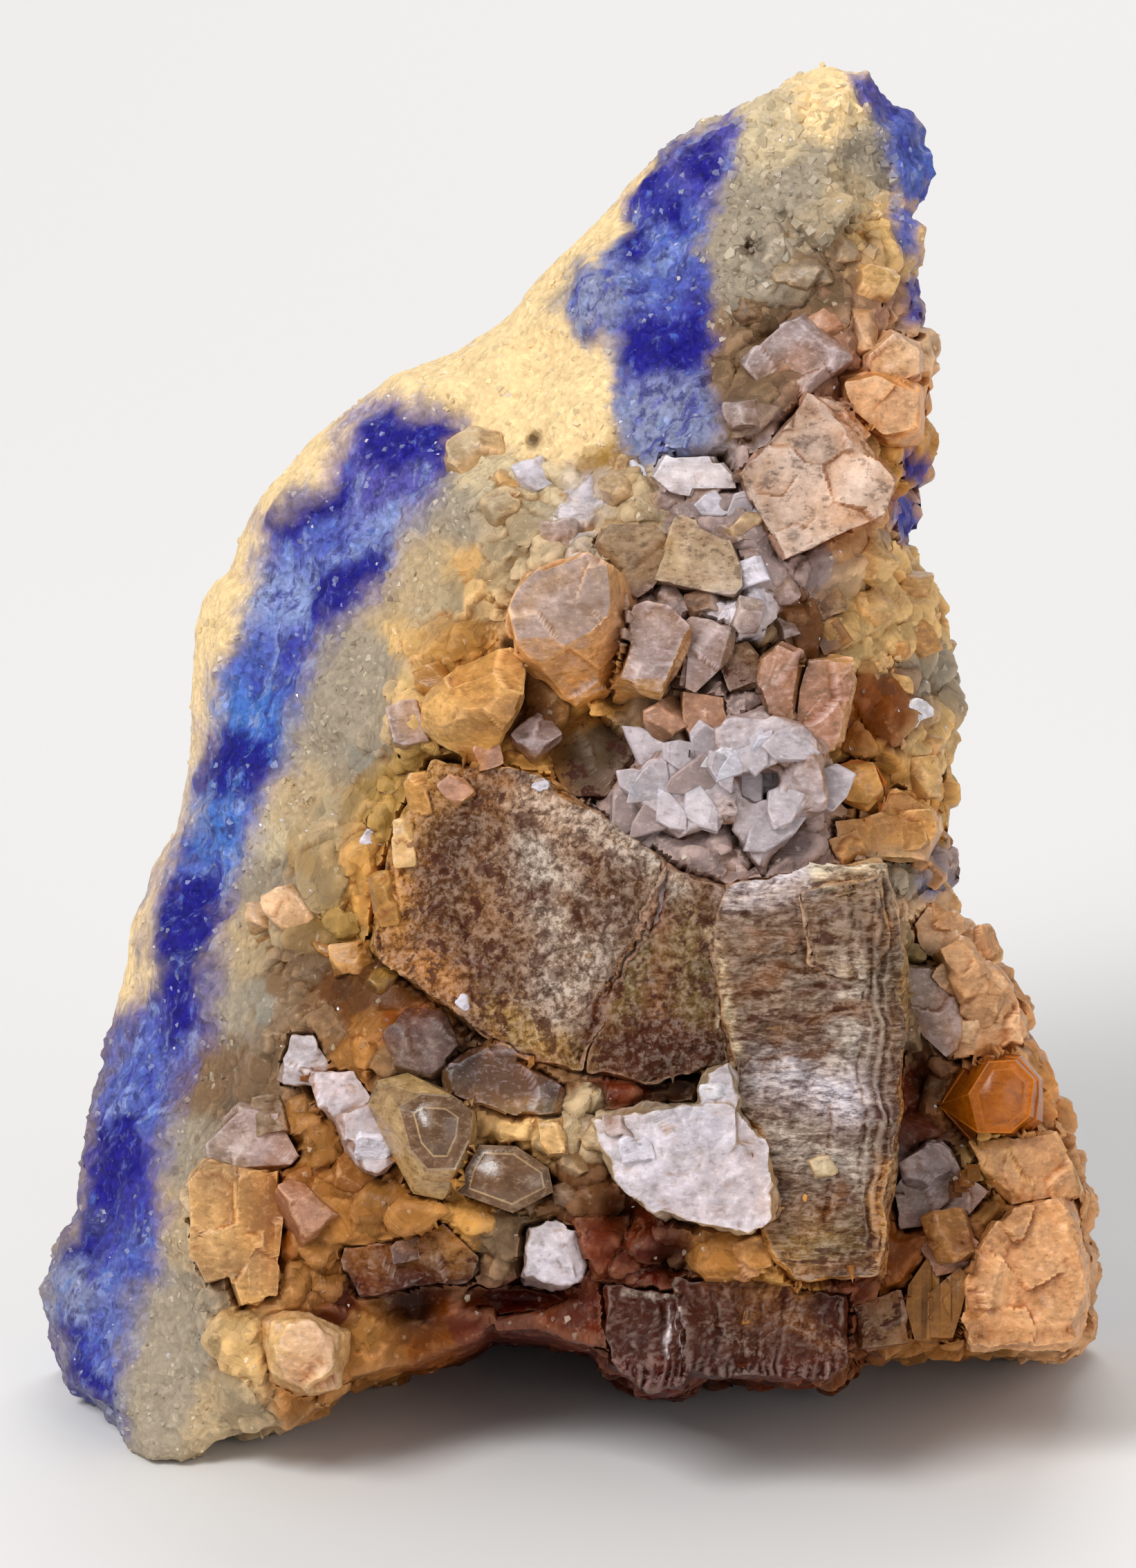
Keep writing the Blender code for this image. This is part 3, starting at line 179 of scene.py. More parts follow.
# Tones of the ground: sheet place, reach and tone
GROUND = [
    (33.5, 37.0, 2.5, "grey_beige"), (35.0, 34.5, 2.5, "cream_grey"), (30.5, 43.0, 3.0, "beige"),
    (27.0, 48.5, 3.0, "grey_beige"), (29.6, 46.5, 2.0, "golden_pale"), (25.0, 53.5, 3.0, "grey_beige"),
    (20.0, 61.0, 2.0, "cream_grey"), (30.0, 50.2, 2.0, "golden_pale"), (22.5, 58.5, 3.0, "beige"),
    (20.5, 63.5, 3.0, "grey_beige"), (18.5, 68.0, 2.5, "beige"), (18.0, 73.5, 2.5, "grey_beige"),
    (16.0, 78.0, 2.5, "grey_brown"), (14.0, 83.0, 2.0, "grey_beige"), (13.0, 89.0, 2.0, "beige"),
    (12.0, 95.0, 2.5, "grey_beige"), (11.0, 101.0, 3.0, "grey_beige"), (14.0, 98.0, 2.5, "grey_beige"),
    (15.5, 102.0, 2.5, "beige"), (18.0, 97.0, 2.0, "golden_pale"), (34.0, 33.0, 1.5, "golden_pale"),
    (38.5, 31.0, 2.0, "cream"), (39.5, 35.5, 2.0, "cream_grey"), (37.0, 39.5, 2.5, "beige"),
    (34.0, 41.5, 2.0, "golden_pale"), (44.0, 32.5, 1.5, "olive_gold"), (42.5, 36.5, 2.0, "white_lilac"),
    (46.0, 36.0, 1.5, "beige"), (50.5, 34.0, 1.5, "white_lilac"), (46.5, 39.0, 2.0, "beige"),
    (50.0, 37.0, 2.0, "lilac"), (53.5, 37.5, 2.0, "lilac"), (47.0, 31.0, 2.0, "grey_blue"),
    (60.0, 7.6, 2.5, "cream"), (56.0, 9.5, 2.5, "cream_grey"), (63.0, 10.5, 2.0, "grey_beige"),
    (57.5, 13.0, 2.5, "grey_beige"), (55.0, 16.0, 2.5, "grey_beige"), (60.5, 14.5, 2.0, "beige"),
    (63.5, 17.5, 2.0, "golden_pale"), (55.0, 19.5, 2.5, "grey_beige"), (59.5, 20.5, 2.0, "grey_brown"),
    (62.5, 22.5, 2.0, "rose"), (55.0, 24.0, 2.0, "grey_brown"), (58.5, 26.0, 2.5, "rose"),
    (54.0, 28.5, 2.5, "grey_brown"), (55.5, 32.0, 2.0, "lilac"), (64.5, 24.5, 1.5, "peach_pale"),
    (64.0, 29.5, 1.5, "orange"), (64.3, 34.0, 1.5, "golden"), (61.5, 39.0, 2.0, "peach"),
    (58.0, 41.0, 2.0, "lilac"), (63.5, 41.5, 2.5, "golden_pale"), (66.5, 44.5, 2.0, "golden_pale"),
    (62.5, 45.5, 2.0, "golden_pale"), (58.5, 45.0, 2.0, "brown"), (63.3, 51.5, 2.0, "dark_amber"),
    (67.0, 49.0, 1.5, "grey_beige"), (66.5, 54.0, 1.5, "golden_pale"), (62.5, 57.0, 2.0, "golden"),
    (65.5, 59.5, 2.0, "golden"), (67.0, 62.5, 1.5, "lilac"), (65.0, 62.5, 1.5, "grey_beige"),
    (67.5, 66.0, 1.5, "peach_pale"), (66.0, 70.5, 1.5, "olive"), (66.3, 75.0, 1.5, "grey_brown"),
    (66.3, 79.0, 2.0, "red_brown"), (68.5, 79.5, 1.0, "amber"), (71.5, 73.5, 2.5, "peach"),
    (73.0, 78.0, 2.0, "orange"), (72.0, 83.5, 1.5, "olive_gold"), (75.0, 85.5, 2.0, "peach"),
    (75.0, 92.5, 3.0, "peach"), (71.0, 88.5, 2.0, "amber"), (69.5, 89.0, 1.5, "red_brown"),
    (66.5, 85.5, 2.0, "lilac_dark"), (65.5, 89.5, 1.5, "dark_amber"), (64.5, 92.5, 2.0, "dark_amber"),
    (67.5, 94.5, 2.0, "amber"), (61.5, 94.0, 1.5, "red_brown"), (71.0, 98.0, 1.5, "amber"),
    (33.0, 47.5, 2.0, "golden"), (30.5, 55.5, 2.0, "olive_gold"), (36.5, 56.0, 2.0, "golden"),
    (28.0, 58.5, 2.5, "olive_gold"), (27.5, 64.0, 2.5, "golden"), (24.8, 66.5, 2.5, "olive_gold"),
    (22.0, 62.5, 2.0, "olive_gold"), (21.5, 70.0, 2.5, "grey_brown"), (25.5, 71.5, 2.5, "brown"),
    (29.0, 71.0, 2.0, "brown"), (29.5, 74.0, 2.0, "dark_amber"), (21.5, 75.0, 2.0, "grey_brown"),
    (18.0, 76.5, 2.0, "grey_brown"), (26.0, 76.5, 2.5, "amber"), (33.0, 75.5, 1.5, "dark_brown"),
    (30.0, 77.0, 2.0, "grey_brown"), (38.0, 82.0, 2.0, "golden_pale"), (41.6, 81.0, 2.2, "beige"),
    (44.8, 78.5, 1.6, "red_brown"), (48.2, 78.5, 1.6, "dark_brown"), (40.6, 78.6, 1.2, "brown"),
    (41.5, 85.5, 2.0, "brown"), (37.5, 77.0, 2.0, "amber"), (18.5, 78.5, 2.0, "grey_brown"),
    (23.0, 83.5, 2.5, "amber"), (21.5, 87.5, 2.0, "dark_amber"), (24.5, 88.0, 2.0, "amber"),
    (28.5, 88.0, 2.0, "amber"), (33.5, 87.8, 2.0, "golden"), (36.5, 89.5, 2.0, "grey_brown"),
    (22.5, 92.0, 1.5, "amber"), (25.0, 94.5, 1.5, "red_brown"), (30.0, 94.2, 1.5, "dark_red"),
    (37.0, 94.3, 2.0, "dark_red"), (42.5, 94.5, 2.0, "red_brown"), (27.0, 97.0, 2.0, "amber"),
    (31.0, 96.8, 2.0, "dark_amber"), (23.0, 99.5, 2.0, "amber"), (34.0, 95.8, 1.5, "red_brown"),
    (44.5, 89.5, 2.0, "red_brown"), (48.0, 91.5, 2.5, "dark_red"), (52.0, 90.5, 2.0, "amber"),
    (57.0, 91.5, 2.0, "golden"), (49.0, 100.0, 1.5, "dark_red"), (43.5, 99.0, 1.5, "dark_red"),
    (56.0, 100.0, 1.5, "red_brown"), (36.0, 97.0, 1.0, "dark_red"), (42.5, 51.5, 1.5, "golden"),
    (38.5, 52.5, 1.5, "brown"), (43.5, 53.5, 1.5, "dark_brown"), (47.5, 52.0, 1.5, "grey_brown"),
    (52.0, 52.0, 2.0, "lilac"), (46.5, 57.0, 2.0, "lilac"), (50.0, 60.0, 2.0, "lilac"),
    (57.5, 60.0, 2.0, "lilac"), (54.8, 57.0, 1.0, "dark_brown"), (50.0, 47.5, 1.5, "brown"),
    (55.5, 45.5, 1.5, "grey_brown"), (48.0, 43.5, 1.5, "lilac"), (44.0, 38.0, 1.5, "beige"),
    (57.0, 44.0, 1.5, "brown"), (53.5, 43.5, 1.5, "white_lilac"), (55.5, 41.0, 1.5, "lilac"),
]


def gap_to(x, y, start, end):
    """How far each place is from the straight stretch between two points."""
    along_x, along_y = end[0] - start[0], end[1] - start[1]
    from_x, from_y = x - start[0], y - start[1]
    share = np.clip((from_x * along_x + from_y * along_y) / (along_x ** 2 + along_y ** 2), 0, 1)
    return np.hypot(from_x - share * along_x, from_y - share * along_y)


def inside(x, y, outline, soft):
    """1 inside the outline and 0 outside, with an edge that is that many millimetres soft."""
    nearest = np.full(len(x), 1e9)
    odd = np.zeros(len(x), bool)
    for (x0, y0), (x1, y1) in zip(outline, outline[1:] + outline[:1]):
        nearest = np.minimum(nearest, gap_to(x, y, (x0, y0), (x1, y1)))
        if y0 != y1:
            odd ^= ((y0 > y) != (y1 > y)) & (x < x0 + (y - y0) * (x1 - x0) / (y1 - y0))
    signed = np.where(odd, nearest, -nearest)
    return smooth(signed / soft + 0.5)


def smooth(values):
    """0 to 1 with soft ends."""
    values = np.clip(values, 0, 1)
    return values * values * (3 - 2 * values)


def near_line(x, y, line, reach):
    """1 on the line, fading to 0 at its reach."""
    nearest = np.full(len(x), 1e9)
    for start, end in zip(line, line[1:]):
        nearest = np.minimum(nearest, gap_to(x, y, start, end))
    return smooth(1 - nearest / reach)


SHUFFLE = np.random.RandomState(5).permutation(256)
SLOPES = np.random.RandomState(6).normal(size=(256, 3))
SLOPES /= np.linalg.norm(SLOPES, axis=1)[:, None]


def soft_noise(places):
    """Gradient noise from about -1 to 1, one wave to the unit."""
    base = np.floor(places).astype(int)
    part = places - base
    fade = part ** 3 * (part * (part * 6 - 15) + 10)
    total = np.zeros(len(places))
    for corner in range(8):
        step = np.array([(corner >> axis) & 1 for axis in range(3)])
        spot = base + step
        mixed = SHUFFLE[(spot[:, 0] + SHUFFLE[(spot[:, 1] + SHUFFLE[spot[:, 2] & 255]) & 255]) & 255]
        slope = (SLOPES[mixed] * (part - step)).sum(1)
        total += slope * np.prod(np.where(step, fade, 1 - fade), axis=1)
    return total * 1.6


def grain_field(points, per_mm, seed, octaves=1):
    """Soft noise from -1 to 1 at each point, with that many waves to the millimetre."""
    places = points * (per_mm / MM) + seed * np.array([17.3, 5.1, 9.7])
    total = np.zeros(len(points))
    for octave in range(octaves):
        total += soft_noise(places * 2 ** octave) * 0.5 ** octave
    return total


# Tones of the blue zones, in the same way
BLUES = [
    (30.5, 31.8, 1.6, "royal"), (27.5, 35.5, 2.5, "violet"), (21.0, 37.2, 2.0, "royal"),
    (24.0, 40.0, 2.5, "mid_blue"), (28.0, 38.5, 1.8, "pale_blue"), (25.5, 43.0, 1.6, "violet"),
    (20.5, 43.5, 2.0, "pale_blue"), (22.0, 47.5, 2.0, "royal"), (18.6, 48.0, 2.0, "mid_blue"),
    (18.0, 51.5, 2.5, "azure"), (16.6, 55.0, 2.0, "azure"), (19.0, 58.5, 2.0, "mid_blue"),
    (15.6, 60.0, 2.0, "azure"), (13.5, 63.5, 2.0, "mid_blue"), (16.0, 66.0, 1.6, "royal"),
    (12.8, 69.0, 2.0, "navy"), (14.0, 73.5, 2.0, "violet"), (11.0, 76.0, 2.0, "mid_blue"),
    (9.4, 80.0, 2.0, "mid_blue"), (8.0, 84.0, 2.0, "violet"), (10.6, 86.5, 1.8, "royal"),
    (6.6, 89.0, 1.8, "navy"), (9.4, 91.5, 2.0, "mid_blue"), (5.6, 93.5, 1.6, "grey_blue"),
    (6.4, 97.5, 2.0, "mid_blue"), (8.0, 101.5, 1.6, "grey_blue"), (50.5, 11.5, 1.6, "violet"),
    (46.5, 14.0, 1.6, "royal"), (48.6, 16.5, 1.6, "mid_blue"), (43.0, 21.5, 1.6, "grey_blue"),
    (47.5, 20.5, 1.6, "mid_blue"), (50.0, 23.5, 1.6, "royal"), (46.5, 25.5, 1.6, "royal"),
    (47.5, 30.5, 2.5, "grey_blue"), (62.5, 5.4, 1.6, "violet"), (66.0, 11.5, 2.0, "mid_blue"),
    (65.5, 17.0, 1.6, "mid_blue"), (66.0, 22.0, 1.6, "royal"), (66.0, 33.5, 1.6, "royal"),
    (67.0, 64.0, 1.6, "grey_blue"),
]


def ground_tone(x, y, spots=None, crispness=3.0, core=0.01):
    """The ground's colour at each place."""
    total = np.zeros((len(x), 3))
    weights = np.zeros(len(x))
    for at_x, at_y, reach, tone in spots or GROUND:
        far = ((x - at_x) ** 2 + (y - at_y) ** 2) / reach ** 2
        weight = 1 / (far ** crispness + core)
        total += weight[:, None] * linear(tone)
        weights += weight
    return total / weights[:, None]


# Shader kit

class Wire:
    """A socket that takes part in sums."""

    def __init__(self, sheet, socket):
        self.sheet = sheet
        self.socket = socket

    def __add__(self, other):
        return self.sheet.maths("ADD", self, other)

    def __sub__(self, other):
        return self.sheet.maths("SUBTRACT", self, other)

    def __rsub__(self, other):
        return self.sheet.maths("SUBTRACT", other, self)

    def __mul__(self, other):
        return self.sheet.maths("MULTIPLY", self, other)

    def __pow__(self, other):
        return self.sheet.maths("POWER", self, other)

    __radd__ = __add__
    __rmul__ = __mul__


class Finish:
    """A material in the making."""

    def __init__(self, name, roughness=0.5, **fixed):
        self.material = bpy.data.materials.new(name)
        self.material.use_nodes = True
        self.tree = self.material.node_tree
        self.shader = self.tree.nodes["Principled BSDF"]
        self.shader.inputs["Roughness"].default_value = roughness
        for socket, value in fixed.items():
            self.shader.inputs[socket.replace("_", " ")].default_value = value
        self.place = self.node("ShaderNodeTexCoord", {}, {}, "Object")

    def node(self, kind, settings, links, output=0):
        """A node of that kind: its settings, then the values and wires of its sockets."""
        made = self.tree.nodes.new(kind)
        for name, value in settings.items():
            setattr(made, name, value)
        for name, value in links.items():
            self.feed(made.inputs[name], value)
        return Wire(self, made.outputs[output])

    def feed(self, socket, value):
        if isinstance(value, Wire):
            self.tree.links.new(value.socket, socket)
        else:
            socket.default_value = value

    def maths(self, operation, first, second):
        return self.node("ShaderNodeMath", {"operation": operation}, {0: first, 1: second})

    def stretched(self, scale):
        """The piece's own coordinates in millimetres, times a scale for each axis."""
        links = {"Vector": self.place, "Scale": [part / MM for part in scale]}
        return self.node("ShaderNodeMapping", {}, links)

    def noise(self, per_mm, detail=3.0, rough=0.55, at=None, warp=0.0, output=0):
        at = at or self.stretched((1, 1, 1))
        links = {"Vector": at, "Scale": per_mm, "Detail": detail, "Roughness": rough, "Distortion": warp}
        return self.node("ShaderNodeTexNoise", {}, links, output)

    def vector(self, operation, first, second):
        return self.node("ShaderNodeVectorMath", {"operation": operation}, {0: first, 1: second})

    def dot(self, first, second):
        return self.node("ShaderNodeVectorMath", {"operation": "DOT_PRODUCT"}, {0: first, 1: second}, "Value")

    def shifted(self, colours, reach):
        """The piece's own coordinates in millimetres, moved about by a colour texture."""
        step = self.vector("MULTIPLY", colours, (reach, reach, reach))
        return self.vector("ADD", self.stretched((1, 1, 1)), step)

    def cells(self, per_mm, output="Distance", at=None, feature="F1"):
        at = at or self.stretched((1, 1, 1))
        links = {"Vector": at, "Scale": per_mm}
        return self.node("ShaderNodeTexVoronoi", {"feature": feature}, links, output)

    def step(self, value, low, high):
        """0 below low, 1 above high, soft between."""
        links = {"Value": value, "From Min": low, "From Max": high}
        return self.node("ShaderNodeMapRange", {"interpolation_type": "SMOOTHSTEP"}, links)

    def grey(self, colour):
        return self.node("ShaderNodeSeparateColor", {}, {"Color": colour})

    def attribute(self, name, output="Fac"):
        return self.node("ShaderNodeAttribute", {"attribute_name": name}, {}, output)

    def blend(self, share, first, second, way="MIX"):
        """Second over first, by share. Either is a wire or a tone's name."""
        links = {0: share, 6: self.paint(first), 7: self.paint(second)}
        return self.node("ShaderNodeMix", {"data_type": "RGBA", "blend_type": way}, links, 2)

    def paint(self, colour):
        if isinstance(colour, str):
            return (*linear(colour), 1.0)
        return colour

    def brighten(self, colour, amount):
        """The colour times an amount."""
        return self.node("ShaderNodeVectorMath", {"operation": "SCALE"}, {0: colour, "Scale": amount})

    def relief(self, height, distance, strength=1.0):
        links = {"Height": height, "Distance": distance * MM, "Strength": strength}
        if self.shader.inputs["Normal"].links:
            links["Normal"] = Wire(self, self.shader.inputs["Normal"].links[0].from_socket)
        self.feed(self.shader.inputs["Normal"], self.node("ShaderNodeBump", {}, links))

    def wear(self, socket, value):
        self.feed(self.shader.inputs[socket], value)


def rock_finish():
    """The rock: mottled blue band, cream rind, sugary ground and the fused crystals of the front."""
    rock = Finish("lapis_rock", 0.5, Subsurface_Weight=0.10, Subsurface_Scale=0.0010, Specular_IOR_Level=0.15)
    rock.shader.inputs["Subsurface Radius"].default_value = (1.0, 0.55, 0.3)
    tone = rock.attribute("tone", "Color")
    blue = rock.attribute("blue")
    deep = rock.attribute("deep")
    mica = rock.attribute("mica")
    sugary = 1 - mica * 0.85
    grain = rock.grey(rock.cells(1.7, "Color"))
    fine = rock.grey(rock.cells(3.6, "Color"))
    cloud = rock.noise(0.35, 4.0, 0.6)
    speck = rock.noise(1.3, 4.0, 0.65)
    bent = rock.shifted(rock.noise(0.9, 2.0, 0.5, None, 0.0, "Color"), 0.7)
    block = rock.cells(0.52, "Color", bent)
    own = rock.vector("SUBTRACT", bent, rock.cells(0.52, "Position", bent))
    tilt = rock.dot(own, rock.vector("SUBTRACT", block, (0.5, 0.5, 0.5)))
    shade = rock.grey(block)
    lines = rock.node("ShaderNodeCombineXYZ", {}, {"X": tilt * 5.0 + shade * 40.0})
    sheets = rock.noise(1.6, 4.0, 0.7, lines)
    ground = rock.brighten(tone, 0.60 + (grain * 0.22 + fine * 0.16) * sugary + cloud * 0.36)
    ground = rock.brighten(ground, 1.0 + mica * (sheets * 0.5 + shade * 0.40 - 0.40))
    frosted = rock.blend(0.35, rock.brighten(tone, 1.9), "cream_pale")
    ground = rock.blend(rock.step(speck, 0.58, 0.74) * 0.42, ground, frosted)
    ground = rock.blend(rock.step(speck, 0.45, 0.32) * 0.40, ground, rock.brighten(tone, 0.5))
    ground = rock.blend(rock.step(sheets, 0.46, 0.34) * mica * 0.40, ground, "dark_amber", "MULTIPLY")
    # Painted highlight: sharp edges of the skin are lightened towards a pale peach.
    pale = rock.blend(0.25, rock.brighten(tone, 1.9), "peach_pale")
    ground = rock.blend(rock.attribute("edge") * 0.40, ground, pale)
    streak = rock.noise(0.5, 5.0, 0.66, rock.stretched((1.1, 1.1, 0.42)), 0.5)
    veins = rock.noise(0.95, 5.0, 0.68, rock.stretched((1.0, 1.0, 0.5)), 0.3)
    band = rock.attribute("band", "Color")
    band = rock.blend(rock.step(streak, 0.52, 0.66) * 0.7, band, "pale_blue")
    band = rock.blend(rock.step(streak, 0.48, 0.36) * 0.7, band, "royal")
    band = rock.blend(rock.step(veins, 0.48, 0.38) * 0.75, band, "navy")
    band = rock.blend(rock.step(veins, 0.56, 0.68) * 0.5, band, "azure")
    band = rock.blend(deep * rock.step(veins, 0.70, 0.51) * 0.95, band, "deep")
    band = rock.blend(rock.step(speck, 0.58, 0.72) * 0.55, band, "grey_blue")
    band = rock.brighten(band, 0.50 + grain * 0.36 + fine * 0.30 + cloud * 0.16)
    rock.wear("Base Color", rock.blend(blue, ground, band))
    rock.wear("Roughness", 0.40 + speck * 0.3 + blue * 0.08 - mica * 0.20)
    rock.relief(rock.cells(1.7) * sugary, 0.26, 0.7)
    rock.relief(rock.noise(2.6, 3.0, 0.6), 0.10, 0.6)
    rock.relief(tilt * mica, 0.6, 0.8)
    rock.relief(sheets * mica, 0.16, 0.7)
    return rock.material


def book_finish():
    """The big mica books: silver and dark mottles, drawn out in rows where the sheets' edges show."""
    book = Finish("book_mica", 0.42, Specular_IOR_Level=0.12)
    tone = book.attribute("tone", "Color")
    dash = book.attribute("dash")
    bloom = book.attribute("bloom")
    even = book.noise(1.7, 5.0, 0.74, None, 0.25)
    rows = book.noise(1.0, 5.0, 0.74, book.stretched((0.8, 1.0, 2.8)), 0.25)
    mottle = even + (rows - even) * dash
    blots = book.noise(0.62, 5.0, 0.66, None, 0.35)
    long_blots = book.noise(0.45, 4.0, 0.66, book.stretched((0.7, 1.0, 2.6)), 0.3)
    blot = blots + (long_blots - blots) * dash
    cloud = book.noise(0.4, 3.0, 0.6)
    light = book.blend(0.45, book.brighten(tone, 2.0), "silver_pale")
    shade = book.blend(0.5, book.brighten(tone, 0.34), "stain")
    colour = book.brighten(tone, 0.60 + cloud * 0.70)
    colour = book.blend(book.step(mottle, 0.49, 0.58) * (0.42 + bloom * 0.55), colour, light)
    colour = book.blend(book.step(mottle, 0.475, 0.40) * 0.85, colour, shade)
    stained = book.blend(0.6, shade, "stain")
    colour = book.blend(book.step(blot, 0.545, 0.59) * (0.9 - bloom * 0.4), colour, stained)
    # Painted highlight: the marked edges are blended towards the pale silver colour.
    colour = book.blend(book.attribute("edge_highlight") * 0.55, colour, light)
    book.wear("Base Color", colour)
    book.wear("Roughness", 0.52 - mottle * 0.25)
    book.relief(mottle, 0.14, 0.8)
    book.relief(blot, 0.16, 0.6)
    return book.material


def mica_finish(name, mottle, dark, pale, gloss, clear=0.0, sheen=0.08, edge_highlight=0.5, shine=0.32, fine=2.2,
                glow=0.0):
    """Mica and calcite crystals: layered sides, mottled faces and edges paled as a painted highlight."""
    mica = Finish(name, gloss, Coat_Weight=sheen, Coat_Roughness=0.2, Specular_IOR_Level=shine,
                  Transmission_Weight=clear, IOR=1.56, Subsurface_Weight=glow, Subsurface_Scale=0.0008)
    mica.shader.inputs["Subsurface Radius"].default_value = (1.0, 0.6, 0.35)
    tone = mica.attribute("tone", "Color")
    lines = mica.node("ShaderNodeCombineXYZ", {}, {"X": mica.attribute("stack")})
    sheets = mica.noise(3.2, 3.0, 0.7, lines)
    cloud = mica.noise(0.45, 4.0, 0.6)
    patch = mica.noise(0.9, 5.0, 0.68, None, 0.3)
    speck = mica.noise(fine, 4.0, 0.68, mica.stretched((0.75, 1.0, 1.35)))
    light = mica.blend(0.4, mica.brighten(tone, 1.9), pale)
    shade = mica.blend(0.4, mica.brighten(tone, 0.32), dark)
    colour = mica.brighten(tone, 0.54 + cloud * 0.52 + sheets * 0.30)
    colour = mica.blend(mica.step(patch, 0.52, 0.66) * mottle * 0.6, colour, light)
    colour = mica.blend(mica.step(patch * 0.6 + speck * 0.4, 0.49, 0.40) * mottle, colour, shade)
    colour = mica.blend(mica.step(speck, 0.54, 0.64) * mottle * 0.75, colour, light)
    colour = mica.blend(mica.step(speck, 0.42, 0.34) * mottle, colour, shade)
    # Painted highlight: the marked edges are blended towards the pale mottle colour.
    colour = mica.blend(mica.attribute("edge_highlight") * edge_highlight, colour, light)
    mica.wear("Base Color", colour)
    mica.wear("Roughness", gloss - 0.08 + patch * 0.25)
    mica.relief(sheets, 0.10, 0.6)
    mica.relief(patch, 0.10, 0.5)
    mica.relief(speck, 0.05, 0.6)
    return mica.material


def glint_finish():
    """Bright bare faces of calcite and mica that catch the light."""
    glint = Finish("glint", 0.12, Coat_Weight=0.5, IOR=1.6)
    glint.wear("Base Color", glint.blend(glint.noise(0.8), "white_lilac", "white"))
    glint.relief(glint.noise(3.0), 0.05, 0.4)
    return glint.material


def floor_finish():
    floor = Finish("pale_floor", 0.7)
    floor.shader.inputs["Base Color"].default_value = (0.78, 0.77, 0.76, 1)
    return floor.material


# Holding and shaping pieces

def hold(*pieces):
    """Selects these pieces alone, the first one active."""
    if bpy.context.object and bpy.context.object.mode != "OBJECT":
        bpy.ops.object.mode_set(mode="OBJECT")
    bpy.ops.object.select_all(action="DESELECT")
    for piece in pieces:
        piece.select_set(True)
    bpy.context.view_layer.objects.active = pieces[0]


def hold_none():
    bpy.ops.object.select_all(action="DESELECT")


def merged_copy(node, name):
    """A copy of a CAD node with its loose triangles merged into whole faces."""
    piece = bpy.data.objects.new(name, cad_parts[node].data.copy())
    bpy.context.collection.objects.link(piece)
    piece.data.materials.clear()
    hold(piece)
    bpy.ops.object.mode_set(mode="EDIT")
    bpy.ops.mesh.select_all(action="SELECT")
    bpy.ops.mesh.remove_doubles(threshold=2e-6)
    bpy.ops.mesh.dissolve_limited(angle_limit=math.radians(1))
    bpy.ops.object.mode_set(mode="OBJECT")
    return piece


def apply(piece, kind, **settings):
    """Adds a modifier with those settings and applies it."""
    hold(piece)
    modifier = piece.modifiers.new("work", kind)
    for name, value in settings.items():
        setattr(modifier, name, value)
    bpy.ops.object.modifier_apply(modifier="work")


def points_of(mesh):
    places = np.zeros(len(mesh.vertices) * 3, np.float32)
    mesh.vertices.foreach_get("co", places)
    return places.reshape(-1, 3).astype(float)


def normals_of(mesh):
    ways = np.zeros(len(mesh.vertices) * 3, np.float32)
    mesh.vertices.foreach_get("normal", ways)
    return ways.reshape(-1, 3).astype(float)


def put_points(mesh, places):
    mesh.vertices.foreach_set("co", places.astype(np.float32).ravel())
    mesh.update()


def mark(mesh, name, values, domain="POINT"):
    """Stores a number or a colour for each point or face."""
    old = mesh.attributes.get(name)
    if old:
        mesh.attributes.remove(old)
    values = np.asarray(values, np.float32)
    if values.ndim == 1:
        mesh.attributes.new(name, "FLOAT", domain).data.foreach_set("value", values)
        return
    colours = np.ones((len(values), 4), np.float32)
    colours[:, :3] = values
    mesh.attributes.new(name, "FLOAT_COLOR", domain).data.foreach_set("color", colours.ravel())


def done(piece, material, slot, *nodes):
    """Gives the piece its finish and its place in the stone."""
    piece.data.materials.clear()
    piece.data.materials.append(material)
    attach(piece, "root")
    if nodes:
        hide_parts(*nodes)


def soften(piece, angle=35):
    hold(piece)
    bpy.ops.object.shade_smooth_by_angle(angle=math.radians(angle))


# The rock

# Millimetres: the grain of the lump's mesh, the usual facet of its ground, how far the crystals are swelled
# to meet the ground, and how far the ground is raised at most to meet their fronts
ROCK_VOXEL = 0.34
CELL = 1.7
SEAT = 0.18
RAISE = 2.6
# Size of the grid that holds the depths of the front, in rows and columns of a millimetre
GRID = (110, 84)
# Spacing, and least and greatest length, of the three sizes of half sunk crystals
SUNK_SIZES = ((3.6, 3.4, 6.0), (2.5, 2.0, 3.8), (1.9, 1.4, 2.4))


def spaced(points, gap, order):
    """Indices of points that lie at least that far apart, where those that come first in the order stay."""
    taken = {}
    kept = []
    for index in order:
        cell = tuple(int(math.floor(part / gap)) for part in points[index])
        near = [
            other
            for dx in (-1, 0, 1) for dy in (-1, 0, 1) for dz in (-1, 0, 1)
            for other in taken.get((cell[0] + dx, cell[1] + dy, cell[2] + dz), [])
        ]
        if all(np.linalg.norm(points[index] - points[other]) >= gap for other in near):
            taken.setdefault(cell, []).append(index)
            kept.append(index)
    return kept


def tree_of(pieces):
    """A search tree over the faces of several pieces."""
    places, faces = [], []
    for piece in pieces:
        offset = len(places)
        places += [vert.co.copy() for vert in piece.data.vertices]
        faces += [[offset + index for index in face.vertices] for face in piece.data.polygons]
    return bvhtree.BVHTree.FromPolygons(places, faces)


def drawn(cell):
    """Random numbers that belong to a cell of space, whatever the other cells hold."""
    draw = random.Random(str(tuple(int(part) for part in cell)))
    return [draw.random() for _ in range(7)] + [draw.gauss(0, 1) for _ in range(3)]


